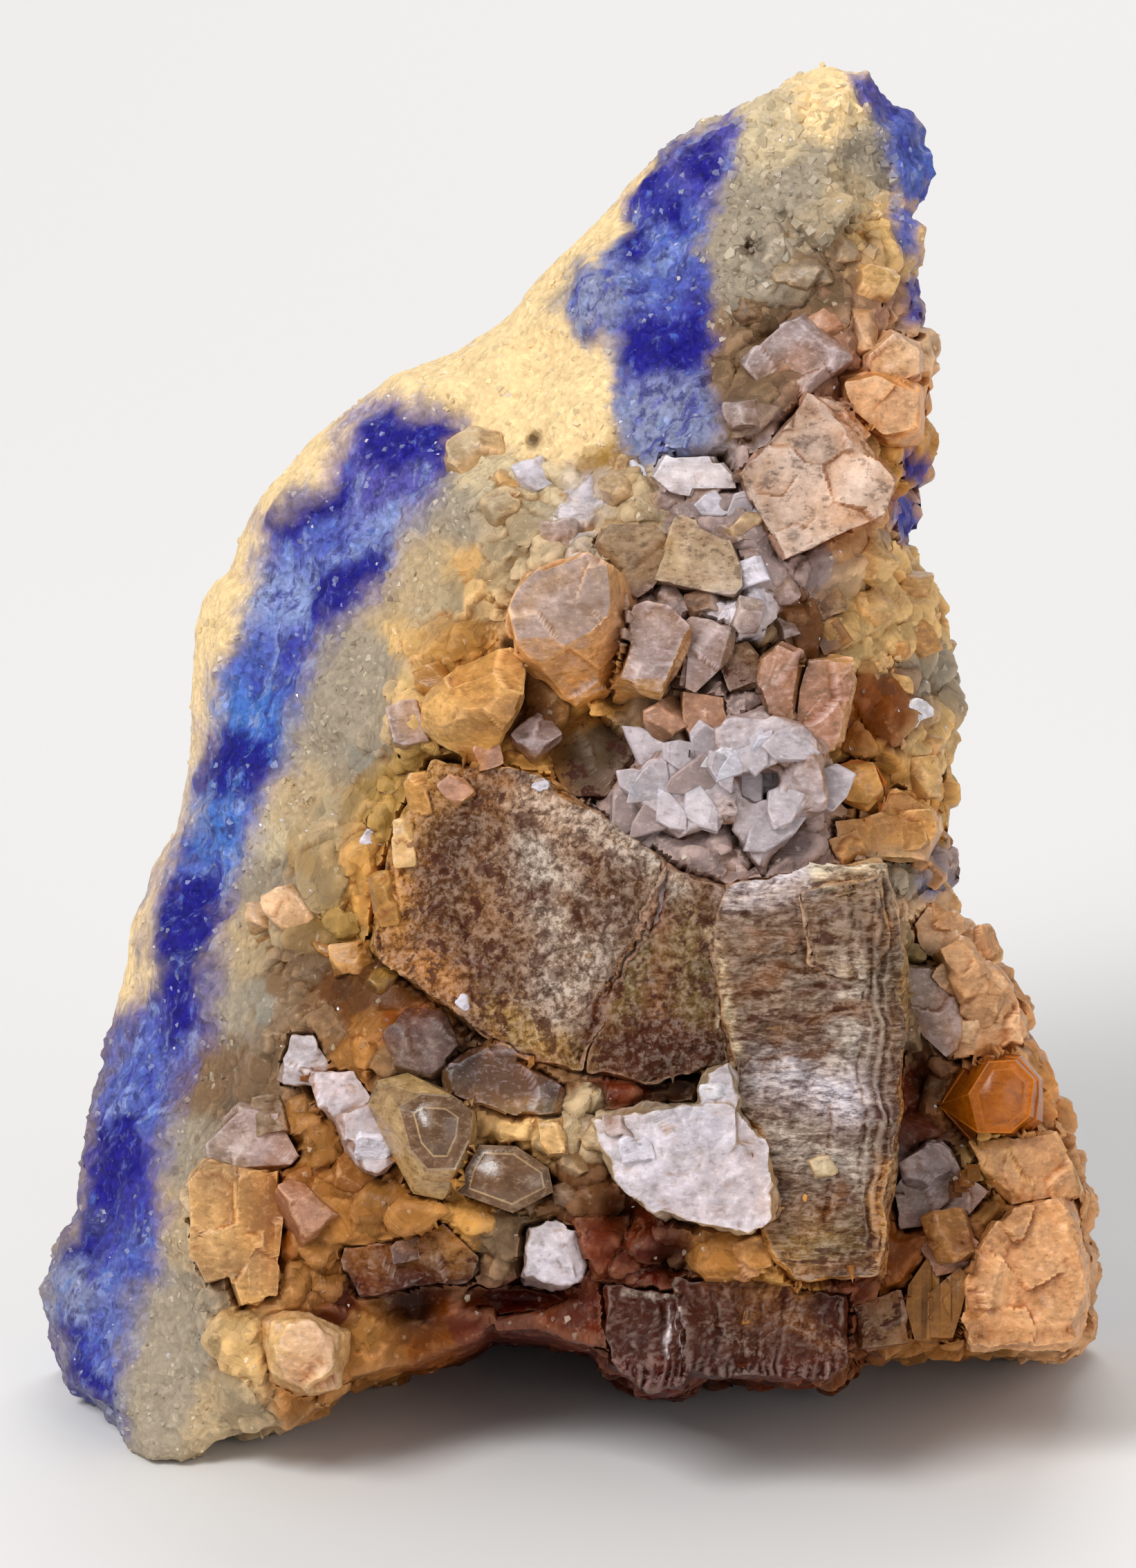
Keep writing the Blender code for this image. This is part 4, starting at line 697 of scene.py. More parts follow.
def facets(places, ways, gap, amount, lean, rise, limit=1.1):
    """Moves each point to the flat facet of its nearest seed, as if blocky crystals covered the ground."""
    side = 0.8 * gap * MM
    cells, home = np.unique(np.floor(places / side).astype(int), axis=0, return_inverse=True)
    home = home.ravel()
    draws = np.array([drawn(cell) for cell in cells])
    miss = np.linalg.norm(places - ((cells + draws[:, :3]) * side)[home], axis=1)
    order = np.lexsort((miss, home))
    first = order[np.searchsorted(home[order], np.arange(len(cells)))]
    kept = spaced(places[first], gap * MM, np.argsort(draws[:, 3]))
    seeds, draws = first[kept], draws[kept]
    tree = kdtree.KDTree(len(seeds))
    for number, index in enumerate(seeds):
        tree.insert(places[index], number)
    tree.balance()
    cell = np.array([tree.find(place)[1] for place in places])
    out = ways[seeds]
    facet = out + draws[:, 7:] * lean
    facet /= np.linalg.norm(facet, axis=1)[:, None]
    base = places[seeds] + out * ((draws[:, 4] * 2 - 1) * rise * MM)[:, None]
    steep = np.maximum((out * facet).sum(1), 0.4)
    travel = ((base[cell] - places) * facet[cell]).sum(1) / steep[cell]
    travel = np.clip(travel, -limit * MM, limit * MM) * amount
    return places + out[cell] * travel[:, None], cell, seeds, draws[:, 5:7]


def back_on(tree, places, reach):
    """The places drawn back to the faces that they were remeshed from, so that edges stay crisp."""
    moved = places.copy()
    for index, place in enumerate(places):
        spot = tree.find_nearest(Vector(place), reach * MM)[0]
        if spot is not None:
            moved[index] = spot
    return moved


def relaxed(mesh, places, rounds, share=0.5):
    """The places after their points drew towards their neighbours a few times."""
    ends = np.zeros(len(mesh.edges) * 2, np.int32)
    mesh.edges.foreach_get("vertices", ends)
    first, second = ends[0::2], ends[1::2]
    count = np.bincount(ends, minlength=len(places))[:, None]
    for _ in range(rounds):
        total = np.stack([
            np.bincount(first, places[second, axis], len(places))
            + np.bincount(second, places[first, axis], len(places))
            for axis in range(3)
        ], 1)
        places = places * (1 - share) + total / np.maximum(count, 1) * share
    return places


def edges_and_creases(mesh, voxel):
    """How sharply each point stands out of the skin round it or lies in it, and how deep its hollow is."""
    places, ways = points_of(mesh), normals_of(mesh)
    near = relaxed(mesh, places, 2)
    wide = relaxed(mesh, near, 24)
    sharp = ((places - near) * ways).sum(1) / (voxel * MM)
    sunk = ((wide - places) * ways).sum(1) / MM
    return smooth((sharp - 0.05) / 0.22), smooth((-sharp - 0.05) / 0.22), smooth((sunk + 0.05) / 0.9)


def ground_blocks(tree, solids):
    """Blocky crystals half sunk in the ground between the big ones, to be joined with the lump."""
    chance = random.Random(21)
    copies = []
    for spacing, low, high in SUNK_SIZES:
        for x, y in scattered(MICA_FIELD, spacing, chance):
            spot, way = seat_on(tree, x, y)
            if spot is None or solids.find_nearest(spot, 0.25 * MM)[0] is not None:
                continue
            here, own = (np.array([x]), np.array([y])), random.Random(f"{x:.3f} {y:.3f}")
            if max(inside(*here, outline, 3.0)[0] for outline in CALM) > own.random():
                continue
            length = own.uniform(low, high)
            size = (length, length * own.uniform(0.6, 1.0), length * own.uniform(0.55, 0.85))
            shape = own.choice(("block", "block", "slab", "hexagon", "wedge"))
            turn = math.radians(own.choice((0, 60, 120, 35)) + own.gauss(0, 14))
            matrix = crystal_frame(spot, way, size, turn, own, 0.22, own.uniform(0.18, 0.38))
            copies.append((shape, matrix, ground_tone(*here)[0] * own.uniform(0.75, 1.2)))
    return copies


def front_levels(tree, split):
    """Depths of the ground and of the crystals' fronts, and their shares, on a grid of whole millimetres."""
    eye = STAND @ Vector((0, -SIGHT, CENTRE_HEIGHT))
    depths, hits = np.zeros((2, *GRID)), np.zeros((2, *GRID))
    for row in range(GRID[0]):
        for column in range(GRID[1]):
            spot, way, face, gap = tree.ray_cast(eye, (on_stone(column, row, 0) - eye).normalized())
            if spot is not None:
                kind = int(face >= split)
                hits[kind, row, column] = 1
                depths[kind, row, column] = sheet_places(np.array([spot]))[2][0]
    bell = np.exp(-(np.arange(-7, 8) / 2.6) ** 2 / 2)
    bell /= bell.sum()

    def blurred(grids):
        for axis in (1, 2):
            grids = np.apply_along_axis(lambda line: np.convolve(line, bell, "same"), axis, grids)
        return grids

    share = blurred(hits)
    return blurred(depths) / np.maximum(share, 1e-6), share


def on_grid(grid, x, y):
    """A grid of whole millimetres, read between its points."""
    x, y = np.clip(x, 0, GRID[1] - 1.1), np.clip(y, 0, GRID[0] - 1.1)
    left, top = x.astype(int), y.astype(int)
    right, low = x - left, y - top
    upper = grid[top, left] * (1 - right) + grid[top, left + 1] * right
    lower = grid[top + 1, left] * (1 - right) + grid[top + 1, left + 1] * right
    return upper * (1 - low) + lower * low


def scattered(outline, spacing, chance):
    """Places inside an outline on the sheet, about that far apart."""
    lows, highs = np.min(outline, axis=0), np.max(outline, axis=0)
    spots = []
    for row in range(int((highs[1] - lows[1]) / spacing) + 1):
        for column in range(int((highs[0] - lows[0]) / spacing) + 1):
            x = lows[0] + (column + chance.uniform(0, 1)) * spacing
            y = lows[1] + (row + chance.uniform(0, 1)) * spacing
            if inside(np.array([x]), np.array([y]), outline, 0.3)[0] > 0.5:
                spots.append((x, y))
    return spots


def fill_and_fuse(rock, crystals, copies, shapes):
    """Fills the lump's pockets, joins the half sunk blocks with it and gives all of it one skin."""
    fillers = []
    for crystal in crystals:
        filler = crystal.copy()
        filler.data = crystal.data.copy()
        bpy.context.collection.objects.link(filler)
        fillers.append(filler)
    blocks, owners = joined_copies("blocks", copies, shapes)
    block_tree = tree_of([blocks])
    hold(rock, blocks, *fillers)
    bpy.ops.object.join()
    apply(rock, "REMESH", mode="VOXEL", voxel_size=ROCK_VOXEL * MM)
    return block_tree, owners


def zones_of(places, forward):
    """The lump's zones as shares from 0 to 1 at each point, and the sheet places that they wander by."""
    x, y, depth = sheet_places(places)
    bent_x = x + 0.8 * grain_field(places, 0.35, 1) + 0.45 * grain_field(places, 1.2, 2)
    bent_y = y + 0.8 * grain_field(places, 0.35, 3) + 0.45 * grain_field(places, 1.2, 4)
    field = inside(bent_x, bent_y, MICA_FIELD, 2.0)
    front = np.maximum(smooth((forward + 0.25) / 0.3), field * smooth((depth + 9) / 4))
    behind = 1 - front
    blue = inside(bent_x + 0.4, bent_y, BLUE_BAND, 3.2)
    for outline in [BLUE_TOP] + BLUE_EDGES:
        blue = np.maximum(blue, inside(bent_x, bent_y, outline, 1.6))
    blue = blue * front + smooth((grain_field(places, 0.055, 5, 3) + 0.12) / 0.25) * behind
    deep = np.zeros(len(x))
    for outline in DEEP_PATCHES:
        deep = np.maximum(deep, inside(bent_x, bent_y, outline, 1.4))
    deep = np.clip(deep * front + behind * smooth((grain_field(places, 0.16, 6, 2) - 0.05) / 0.3), 0, 1)
    cream = inside(bent_x, bent_y, CREAM_RIND, 1.2)
    return front, field * front, cream, blue, deep, bent_x, bent_y


def block_skin(places, wanted, block_tree, owners):
    """Which half sunk block each wanted point belongs to, and its nearest place on that block."""
    owner = np.full(len(places), -1)
    snapped = places.copy()
    for index in np.nonzero(wanted)[0]:
        found = block_tree.find_nearest(Vector(places[index]), ROCK_VOXEL * MM)
        if found[0] is not None:
            owner[index] = owners[found[2]]
            snapped[index] = found[0]
    return owner, snapped


def back_tones(places):
    """The soft clouds of cream and grey on the sides that the front view doesn't show."""
    pale = smooth(0.5 + grain_field(places, 0.09, 11, 3) / 0.9)[:, None]
    return pale * linear("cream_grey") + (1 - pale) * linear("grey_beige")


def make_rock(crystals, shapes):
    """The lump: its pockets filled, its skin grained and faceted, and its zones marked for the finish."""
    rock = merged_copy("lapis_rock", "rock")
    solids = tree_of(crystals)
    whole = tree_of([rock] + crystals)
    levels, shares = front_levels(whole, len(rock.data.polygons))
    copies = ground_blocks(whole, solids)
    block_tree, owners = fill_and_fuse(rock, crystals, copies, shapes)
    places, ways = points_of(rock.data), normals_of(rock.data)
    x, y, depth = sheet_places(places)
    forward = -(ways @ np.array(face_way(0, -1, 0)))
    far = np.array([(solids.find_nearest(Vector(place), 1.5 * MM)[3] or 1.5 * MM) for place in places]) / MM
    covered = smooth((0.27 - far) / 0.15)
    clear = smooth((far - 0.2) / 1.0)
    front, mica, cream, blue, deep, bent_x, bent_y = zones_of(places, forward)
    owner, snapped = block_skin(places, mica > 0.3, block_tree, owners)
    swell = 0.45 * grain_field(places, 0.22, 7) + 0.22 * grain_field(places, 0.7, 8)
    sugar = 0.16 * grain_field(places, 1.5, 9) + 0.10 * grain_field(places, 2.4, 10)
    height = (swell + sugar) * MM * (1 - 0.6 * cream) * (1 - 0.85 * mica)
    calm = np.max([inside(x, y, outline, 3.0) for outline in CALM], axis=0)
    blocky = mica * (1 - 0.7 * calm) * (0.25 + 0.75 * clear) + (1 - mica) * 0.3 * (1 - cream)
    blocky *= 1 - 0.8 * (owner >= 0)
    faceted, cell, seeds, draws = facets(places, ways, CELL, blocky, 0.30, 0.4)
    faceted = np.where((owner >= 0)[:, None], snapped, relaxed(rock.data, faceted, 1, 0.4))
    chips = 0.05 * grain_field(places, 0.9, 12) + 0.04 * grain_field(places, 2.0, 13)
    chips += 0.45 * smooth((far - 0.25) / 0.6)
    shaped = faceted + ways * ((height + mica * chips * MM) * clear - covered * 0.8 * MM)[:, None]
    raised = np.clip(on_grid(levels[1] - levels[0], x, y) - 0.5, 0, RAISE)
    raised *= smooth(on_grid(shares[1], x, y) / 0.15) * mica * (1 - covered) * smooth(forward / 0.3)
    shaped += np.outer(raised * MM, np.array(face_way(0, 1, 0)))
    sunk = np.zeros(len(places))
    for at_x, at_y, reach, pit in PITS:
        share = smooth(1.25 - np.hypot(x + 0.4 * swell - at_x, y - at_y) / reach) * front
        shaped -= np.outer(share * pit * MM, np.array(face_way(0, 1, 0)))
        sunk = np.maximum(sunk, share)
    shaped[:, 2] = np.maximum(shaped[:, 2], 0)
    put_points(rock.data, shaped)

    edge, crease, hollow = edges_and_creases(rock.data, ROCK_VOXEL)
    tone = ground_tone(bent_x, bent_y)
    light, warm = 0.75 + 0.45 * draws[:, 0], 0.2 * draws[:, 1] - 0.1
    warmth = np.stack([1 + warm, np.ones(len(seeds)), 1 - warm], 1)
    cell_tone = ground_tone(x[seeds], y[seeds]) * light[:, None] * warmth
    block_tones = np.array([own for shape, matrix, own in copies])
    own = 0.35 * tone + 0.65 * np.where(owner[:, None] >= 0, block_tones[owner], cell_tone[cell])
    tone = tone * (1 - mica[:, None]) + own * mica[:, None]
    tone = tone * (1 - cream[:, None]) + linear("cream") * cream[:, None]
    tone = tone * front[:, None] + back_tones(places) * (1 - front[:, None])
    # Painted shade: hollows and creases of the crystal field, and creases elsewhere a little, are darkened
    # and warmed towards amber.
    painted_shade = np.clip(mica * (0.55 * hollow + 0.45 * crease) + 0.15 * crease, 0, 1)[:, None]
    tone = tone * (1 - painted_shade) + tone * (0.66, 0.42, 0.18) * painted_shade
    # Painted shade: the pits are darkened towards dark brown.
    tone = tone * (1 - 0.85 * sunk[:, None]) + linear("dark_brown") * 0.85 * sunk[:, None]
    band = ground_tone(bent_x, bent_y, BLUES, 1.6, 0.3)
    paler = band * 0.6 + linear("pale_blue") * 0.4
    mark(rock.data, "tone", tone)
    mark(rock.data, "blue", blue)
    mark(rock.data, "band", band)
    mark(rock.data, "skin", tone * (1 - blue[:, None]) + paler * blue[:, None])
    mark(rock.data, "deep", deep)
    mark(rock.data, "mica", mica)
    # Painted highlight: how sharply each point stands out, for lightening the edges in the finish.
    mark(rock.data, "edge", edge * (0.3 + 0.7 * mica))
    soften(rock, 50)
    done(rock, rock_finish(), "lapis", "lapis_rock")
    print("rock", len(rock.data.polygons), "faces")
    return rock


# The crystals that are solids of their own

# Node: slot, the way its sheets are stacked (right, forward, up), their thickness, front tone, side tone
CRYSTALS = {
    "knob_crystal": ("golden_mica", (0.1, 1.0, 0.1), 2.0, "lilac", "orange"),
    "pale_block": ("lilac_mica", (-0.1, 1.0, 0.2), 0.9, "lilac", "golden"),
    "lilac_block": ("lilac_mica", (0.0, 1.0, 0.1), 0.9, "lilac", "grey_brown"),
    "ridged_block": ("brown_mica", (0.1, 0.3, 1.0), 0.5, "grey_brown", "dark_brown"),
    "pentagon_crystal": ("golden_mica", (0.0, 1.0, 0.0), 1.1, "rose", "amber"),
    "golden_prism": ("golden_mica", (0.5, 0.2, 0.8), 1.2, "golden_pale", "golden"),
    "dark_crystal": ("brown_mica", (-0.3, 0.8, -0.5), 0.6, "olive_dark", "olive_dark"),
    "brown_block": ("brown_mica", (0.0, 0.6, 0.8), 0.6, "grey_brown", "brown"),
    "speckled_block": ("brown_mica", (0.1, 0.7, 0.7), 0.6, "beige", "grey_brown"),
    "square_plate": ("brown_mica", (-0.1, 1.0, 0.1), 0.8, "peach_grey", "rose"),
    "orange_crystal": ("golden_mica", (-0.3, 1.0, 0.0), 2.0, "peach_pale", "orange"),
    "round_pale_crystal": ("lilac_mica", (-0.3, 1.0, 0.2), 2.0, "peach_pale", "peach"),
    "white_slab": ("white_calcite", (0.0, 0.6, 0.8), 0.9, "white", "white_lilac"),
    "white_plates": ("white_calcite", (0.0, 1.0, 0.1), 0.9, "lilac_pale", "lilac"),
    "rose_prism": ("lilac_mica", (0.1, 1.0, 0.1), 0.9, "rose", "amber"),
    "rose_block": ("lilac_mica", (-0.1, 1.0, 0.1), 0.9, "rose", "golden"),
    "left_book": ("brown_mica", (0.1, 1.0, 0.0), 0.8, "book_tan", "golden"),
    "middle_book": ("brown_mica", (0.0, 1.0, 0.0), 0.8, "book_gold", "amber"),
    "right_book": ("brown_mica", (0.0, 1.0, 0.0), 0.8, "book_grey", "golden"),
    "white_patch": ("white_calcite", (0.1, 1.0, 0.1), 1.0, "white_lilac", "beige"),
    "white_knob": ("white_calcite", (0.1, 1.0, 0.1), 1.0, "white_lilac", "lilac"),
    "bottom_book": ("brown_mica", (1.0, 0.1, 0.0), 0.7, "book_dark", "dark_brown"),
    "lilac_slab": ("lilac_mica", (0.0, 1.0, 0.1), 0.9, "slab_grey", "brown"),
    "clear_plate_left": ("clear_mica", (0.0, 1.0, 0.1), 1.6, "clear_brown", "golden_pale"),
    "clear_plate_right": ("clear_mica", (0.0, 1.0, 0.1), 1.6, "clear_brown", "golden_pale"),
    "yellow_prisms": ("golden_mica", (0.9, 0.2, 0.0), 0.8, "golden_pale", "golden"),
    "grey_block": ("lilac_mica", (0.1, 1.0, 0.2), 0.9, "lilac", "grey_brown"),
    "chain_blocks": ("white_calcite", (0.1, 1.0, 0.1), 0.9, "white_lilac", "lilac"),
    "white_rough_crystal": ("white_calcite", (0.2, 1.0, 0.3), 1.4, "peach_pale", "golden_pale"),
    "ridged_book": ("brown_mica", (0.8, 0.5, 0.1), 0.6, "lilac_dark", "dark_brown"),
    "amber_window": ("clear_amber", (-0.1, 1.0, 0.0), 1.3, "deep_amber", "deep_amber"),
    "peach_block": ("golden_mica", (-0.3, 1.0, 0.1), 1.1, "peach_pale", "peach"),
    "grey_wedge": ("lilac_mica", (-0.3, 1.0, 0.1), 0.9, "lilac", "grey_brown"),
    "cream_nugget": ("white_calcite", (-0.2, 1.0, 0.1), 1.5, "peach_pale", "cream"),
    "lower_right_block": ("golden_mica", (-0.3, 1.0, 0.1), 1.3, "peach", "peach"),
    "right_shoulder": ("golden_mica", (-0.3, 1.0, 0.2), 1.1, "peach", "golden"),
    "lilac_prisms": ("lilac_mica", (-0.3, 0.9, 0.3), 0.9, "lilac", "lilac_dark"),
    "rose_corner": ("lilac_mica", (-0.2, 1.0, 0.2), 0.9, "rose", "amber"),
    "amber_blades": ("clear_amber", (0.9, 0.3, 0.0), 0.7, "dark_amber", "amber"),
    "brown_wedge": ("brown_mica", (-0.1, 1.0, 0.1), 0.8, "grey_brown", "brown"),
    "golden_layers": ("golden_mica", (0.0, 0.2, 1.0), 0.55, "golden_pale", "golden"),
    "amber_bump": ("clear_amber", (0.0, 1.0, 0.2), 1.0, "deep_amber", "amber"),
}
BOOKS = ("left_book", "middle_book", "right_book", "bottom_book")
# How far each book's mottles are drawn out in level rows
ROWS = {"left_book": 0.0, "middle_book": 0.15, "right_book": 0.8, "bottom_book": 0.1}
# How much silver their mottles have away from the marks
BLOOM = {"left_book": 0.0, "middle_book": -0.15, "right_book": 0.1, "bottom_book": -0.5}
# Crystals without sheets, dark ones, ones of torn snowy plates, and ones with clear bare faces
ROUGH = {
    "white_patch", "white_knob", "white_plates", "white_rough_crystal", "chain_blocks", "lower_right_block",
    "cream_nugget", "peach_block",
}
SOMBRE = {"dark_crystal", "ridged_book", "brown_wedge", "ridged_block"}
SNOWY = {"white_patch", "white_knob", "white_plates"}
GLASSY = {"clear_plate_left", "clear_plate_right", "amber_window", "amber_blades", "amber_bump"}
# The crystals with a smaller plate raised on their face, and how far its edge is from theirs in millimetres
FRAMED = {"clear_plate_left": 0.8, "clear_plate_right": 0.5, "amber_window": 0.5}
# Millimetres: how wide the edge of a glassy face is that is paled as a painted highlight, and how far it
# steps up to a smaller plate or down
FRAME = 0.13
FRAME_STEP, EDGE_STEP = 0.14, -0.05
# How the skins are worn: grain of the mesh and size of the chips in millimetres, and how far the chips lean
PLAIN_WEAR, ROUGH_WEAR, SNOWY_WEAR = (0.17, 2.4, 0.07), (0.2, 2.2, 0.20), (0.2, 6.0, 0.12)


def swell_out(piece, amount):
    """Grows the piece by that many millimetres all round."""
    hold(piece)
    bpy.ops.object.mode_set(mode="EDIT")
    bpy.ops.mesh.select_all(action="SELECT")
    bpy.ops.transform.shrink_fatten(value=amount * MM, use_even_offset=True)
    bpy.ops.object.mode_set(mode="OBJECT")


def pick_faces(mesh, wanted):
    """Selects the faces that the test wants, and nothing else."""
    for vert in mesh.vertices:
        vert.select = False
    for edge in mesh.edges:
        edge.select = False
    for face in mesh.polygons:
        face.select = bool(wanted(face))


def along(spot):
    """One number for a place, to take faces always in the same order."""
    return spot[0] * 0.613 + spot[1] * 0.271 + spot[2]


def layered(piece, way, thickness, chance):
    """Cuts the sides into sheets, some of which stand a little proud."""
    mesh = piece.data
    spots = points_of(mesh) @ np.array(way)
    level = spots.min() + 0.6 * thickness * MM
    levels = []
    while level < spots.max() - 0.3 * thickness * MM:
        levels.append(level)
        level += thickness * MM * chance.uniform(0.6, 1.5)
    hold(piece)
    bpy.ops.object.mode_set(mode="EDIT")
    bpy.ops.mesh.select_mode(type="FACE")
    for level in levels:
        bpy.ops.mesh.select_all(action="SELECT")
        bpy.ops.mesh.bisect(plane_co=way * level, plane_no=way)
    bpy.ops.object.mode_set(mode="OBJECT")
    for low, high in zip([-math.inf] + levels, levels + [math.inf]):
        proud = chance.uniform(-0.10, 0.16) * MM
        pick_faces(mesh, lambda face: abs(face.normal.dot(way)) < 0.6 and low < face.center.dot(way) < high)
        bpy.ops.object.mode_set(mode="EDIT")
        bpy.ops.mesh.extrude_region_shrink_fatten(TRANSFORM_OT_shrink_fatten={"value": proud})
        bpy.ops.object.mode_set(mode="OBJECT")


def stepped(piece, way, cuts, chance):
    """Splits the front along a few lines and raises some parts of it by a sheet or two."""
    mesh = piece.data
    middle = Vector(points_of(mesh).mean(0))
    size = max(piece.dimensions)
    hold(piece)
    bpy.ops.object.mode_set(mode="EDIT")
    bpy.ops.mesh.select_mode(type="FACE")
    for _ in range(cuts):
        turn = Matrix.Rotation(chance.uniform(0, math.pi), 3, way)
        across = turn @ way.orthogonal().normalized()
        spot = middle + across * size * chance.uniform(-0.3, 0.3)
        bpy.ops.mesh.select_all(action="SELECT")
        bpy.ops.mesh.bisect(plane_co=spot, plane_no=across)
    bpy.ops.object.mode_set(mode="OBJECT")
    spots = sorted([tuple(face.center) for face in mesh.polygons if face.normal.dot(way) > 0.85], key=along)
    for spot in spots:
        share, rise = chance.random(), chance.uniform(-0.12, 0.22) * MM
        if share < 0.55:
            pick_faces(mesh, lambda face: (face.center - Vector(spot)).length < 1e-6)
            bpy.ops.object.mode_set(mode="EDIT")
            bpy.ops.mesh.extrude_region_shrink_fatten(TRANSFORM_OT_shrink_fatten={"value": rise})
            bpy.ops.object.mode_set(mode="OBJECT")


def crystal_marks(piece, way, flats, front_tone, side_tone, chance):
    """Marks each face's colour, and which faces are paled as a painted highlight on an edge."""
    mesh = piece.data
    front, side = linear(front_tone), linear(side_tone)
    tones, edge_highlights = {}, {}
    for face in sorted(mesh.polygons, key=lambda face: along(face.center)):
        lean = smooth(np.array([(abs(face.normal.dot(way)) - 0.5) / 0.4]))[0]
        shade, pale = chance.uniform(0.88, 1.12), chance.uniform(0.1, 0.6)
        tones[face.index] = (front * lean + side * (1 - lean)) * shade
        plain = max(face.normal.dot(flat) for flat in flats) > 0.985 and not face.select
        # Painted highlight: edge faces fully, the inset ring partly, flat faces not at all.
        edge_highlights[face.index] = 0.0 if plain else pale if face.select else 1.0
    tones = [tones[index] for index in range(len(tones))]
    edge_highlights = [edge_highlights[index] for index in range(len(edge_highlights))]
    mark(mesh, "tone", tones, "FACE")
    mark(mesh, "edge_highlight", edge_highlights, "FACE")
    mark(mesh, "stack", points_of(mesh) @ np.array(way) / MM)


def worn(piece, wear, way, front_tone, side_tone, ground, torn=False):
    """Gives a crystal the chipped, uneven skin of the real one, and marks its tones, with painted shade in
    the creases and at the roots, its edges for a painted highlight, and its sheets.
    """
    voxel, chip, lean = wear
    own_faces = tree_of([piece])
    apply(piece, "REMESH", mode="VOXEL", voxel_size=voxel * MM)
    mesh = piece.data
    places, ways = back_on(own_faces, points_of(mesh), voxel), normals_of(mesh)
    chipped, cell, seeds, draws = facets(places, ways, chip, 1.0, lean, lean * 0.25, 0.4)
    if torn:
        ragged = [0.4 * grain_field(places, 0.4, 61 + axis, 2) for axis in range(3)]
        chipped += np.stack(ragged, 1) * (1.0, 0.3, 1.0) * MM
    uneven = 0.03 * grain_field(places, 1.6, 31) + 0.05 * grain_field(places, 0.6, 32, 2)
    if lean > 0.1:
        uneven += 0.20 * grain_field(places, 0.9, 34, 3)
    chipped += ways * (uneven * MM)[:, None]
    put_points(mesh, relaxed(mesh, chipped, 1, 0.15))
    places, ways = points_of(mesh), normals_of(mesh)
    x, y = sheet_places(places)[:2]
    edge, crease = edges_and_creases(mesh, voxel)[:2]
    lean_to = smooth((np.abs(ways @ np.array(way)) - 0.55) / 0.35)[:, None]
    sides = linear(side_tone) * 0.65 + ground_tone(x, y) * 0.35
    tone = (linear(front_tone) * 0.85 + ground_tone(x, y) * 0.15) * lean_to + sides * (1 - lean_to)
    cloud = 1 + 0.22 * grain_field(places, 0.45, 33, 3)
    shade = 0.93 + 0.14 * draws[:, 0]
    warmth = 0.35 if front_tone in ("white", "white_lilac", "lilac_pale") else 0.75
    tone = rooted(tone * (shade[cell] * cloud)[:, None], places, x, y, ground, warmth)
    # Painted shade: creases are darkened and warmed.
    tone = tone * (1 - crease[:, None]) + tone * (0.8, 0.60, 0.42) * crease[:, None]
    mark(mesh, "tone", np.clip(tone, 0, 1))
    # Painted highlight: sharp edges marked to be paled in the finish.
    mark(mesh, "edge_highlight", edge)
    mark(mesh, "stack", places @ np.array(way) / MM)


def rooted(tone, places, x, y, ground, warmth=0.75):
    """Blends a crystal's tone into the ground's where it grows out of the ground, and darkens and warms it
    there as painted shade.
    """
    near = np.array([(ground.find_nearest(Vector(place), 1.6 * MM)[3] or 1.6 * MM) for place in places]) / MM
    share = smooth((1.3 - near) / 1.3)[:, None] * warmth
    return tone * (1 - share) + (tone * 0.45 + ground_tone(x, y) * 0.55) * (0.80, 0.60, 0.36) * share


def make_crystal(node, ground):
    """A crystal from its CAD solid: swelled to meet its neighbours, layered, stepped and its edges worn."""
    slot, stack, thickness, front_tone, side_tone = CRYSTALS[node]
    chance = random.Random(node)
    way = face_way(*stack)
    piece = merged_copy(node, node.replace("_crystal", "") + "_shape")
    swell_out(piece, SEAT)
    if node not in ROUGH:
        layered(piece, way, thickness, chance)
        flats = [face.normal.copy() for face in piece.data.polygons if face.area > (0.8 * MM) ** 2]
        if node not in FRAMED:
            stepped(piece, face_way(0, 1, 0) if abs(stack[1]) < 0.5 else way, 3, chance)
        width = 0.2 if node in GLASSY else 0.12
        corner = math.radians(28)
        apply(piece, "BEVEL", width=width * MM, segments=2, limit_method="ANGLE", angle_limit=corner)
    if node in GLASSY:
        pick_faces(piece.data, lambda face: face.normal.dot(way) > 0.8 and face.area > (1.2 * MM) ** 2)
        bpy.ops.object.mode_set(mode="EDIT")
        if node in FRAMED:
            bpy.ops.mesh.inset(thickness=FRAMED[node] * MM, depth=0)
        step = FRAME_STEP if node in FRAMED else EDGE_STEP
        bpy.ops.mesh.inset(thickness=FRAME * MM, depth=step * MM, use_select_inset=True)
        bpy.ops.object.mode_set(mode="OBJECT")
        crystal_marks(piece, way, flats, front_tone, side_tone, chance)
    else:
        wear = SNOWY_WEAR if node in SNOWY else ROUGH_WEAR if node in ROUGH else PLAIN_WEAR
        worn(piece, wear, way, front_tone, side_tone, ground, torn=node in SNOWY)
    if node in SOMBRE:
        mark(piece.data, "bloom", np.full(len(piece.data.vertices), -0.7 if node == "dark_crystal" else -0.4))
        mark(piece.data, "dash", np.full(len(piece.data.vertices), 0.3))
    soften(piece, 25 if node in GLASSY else 40)
    return piece, slot


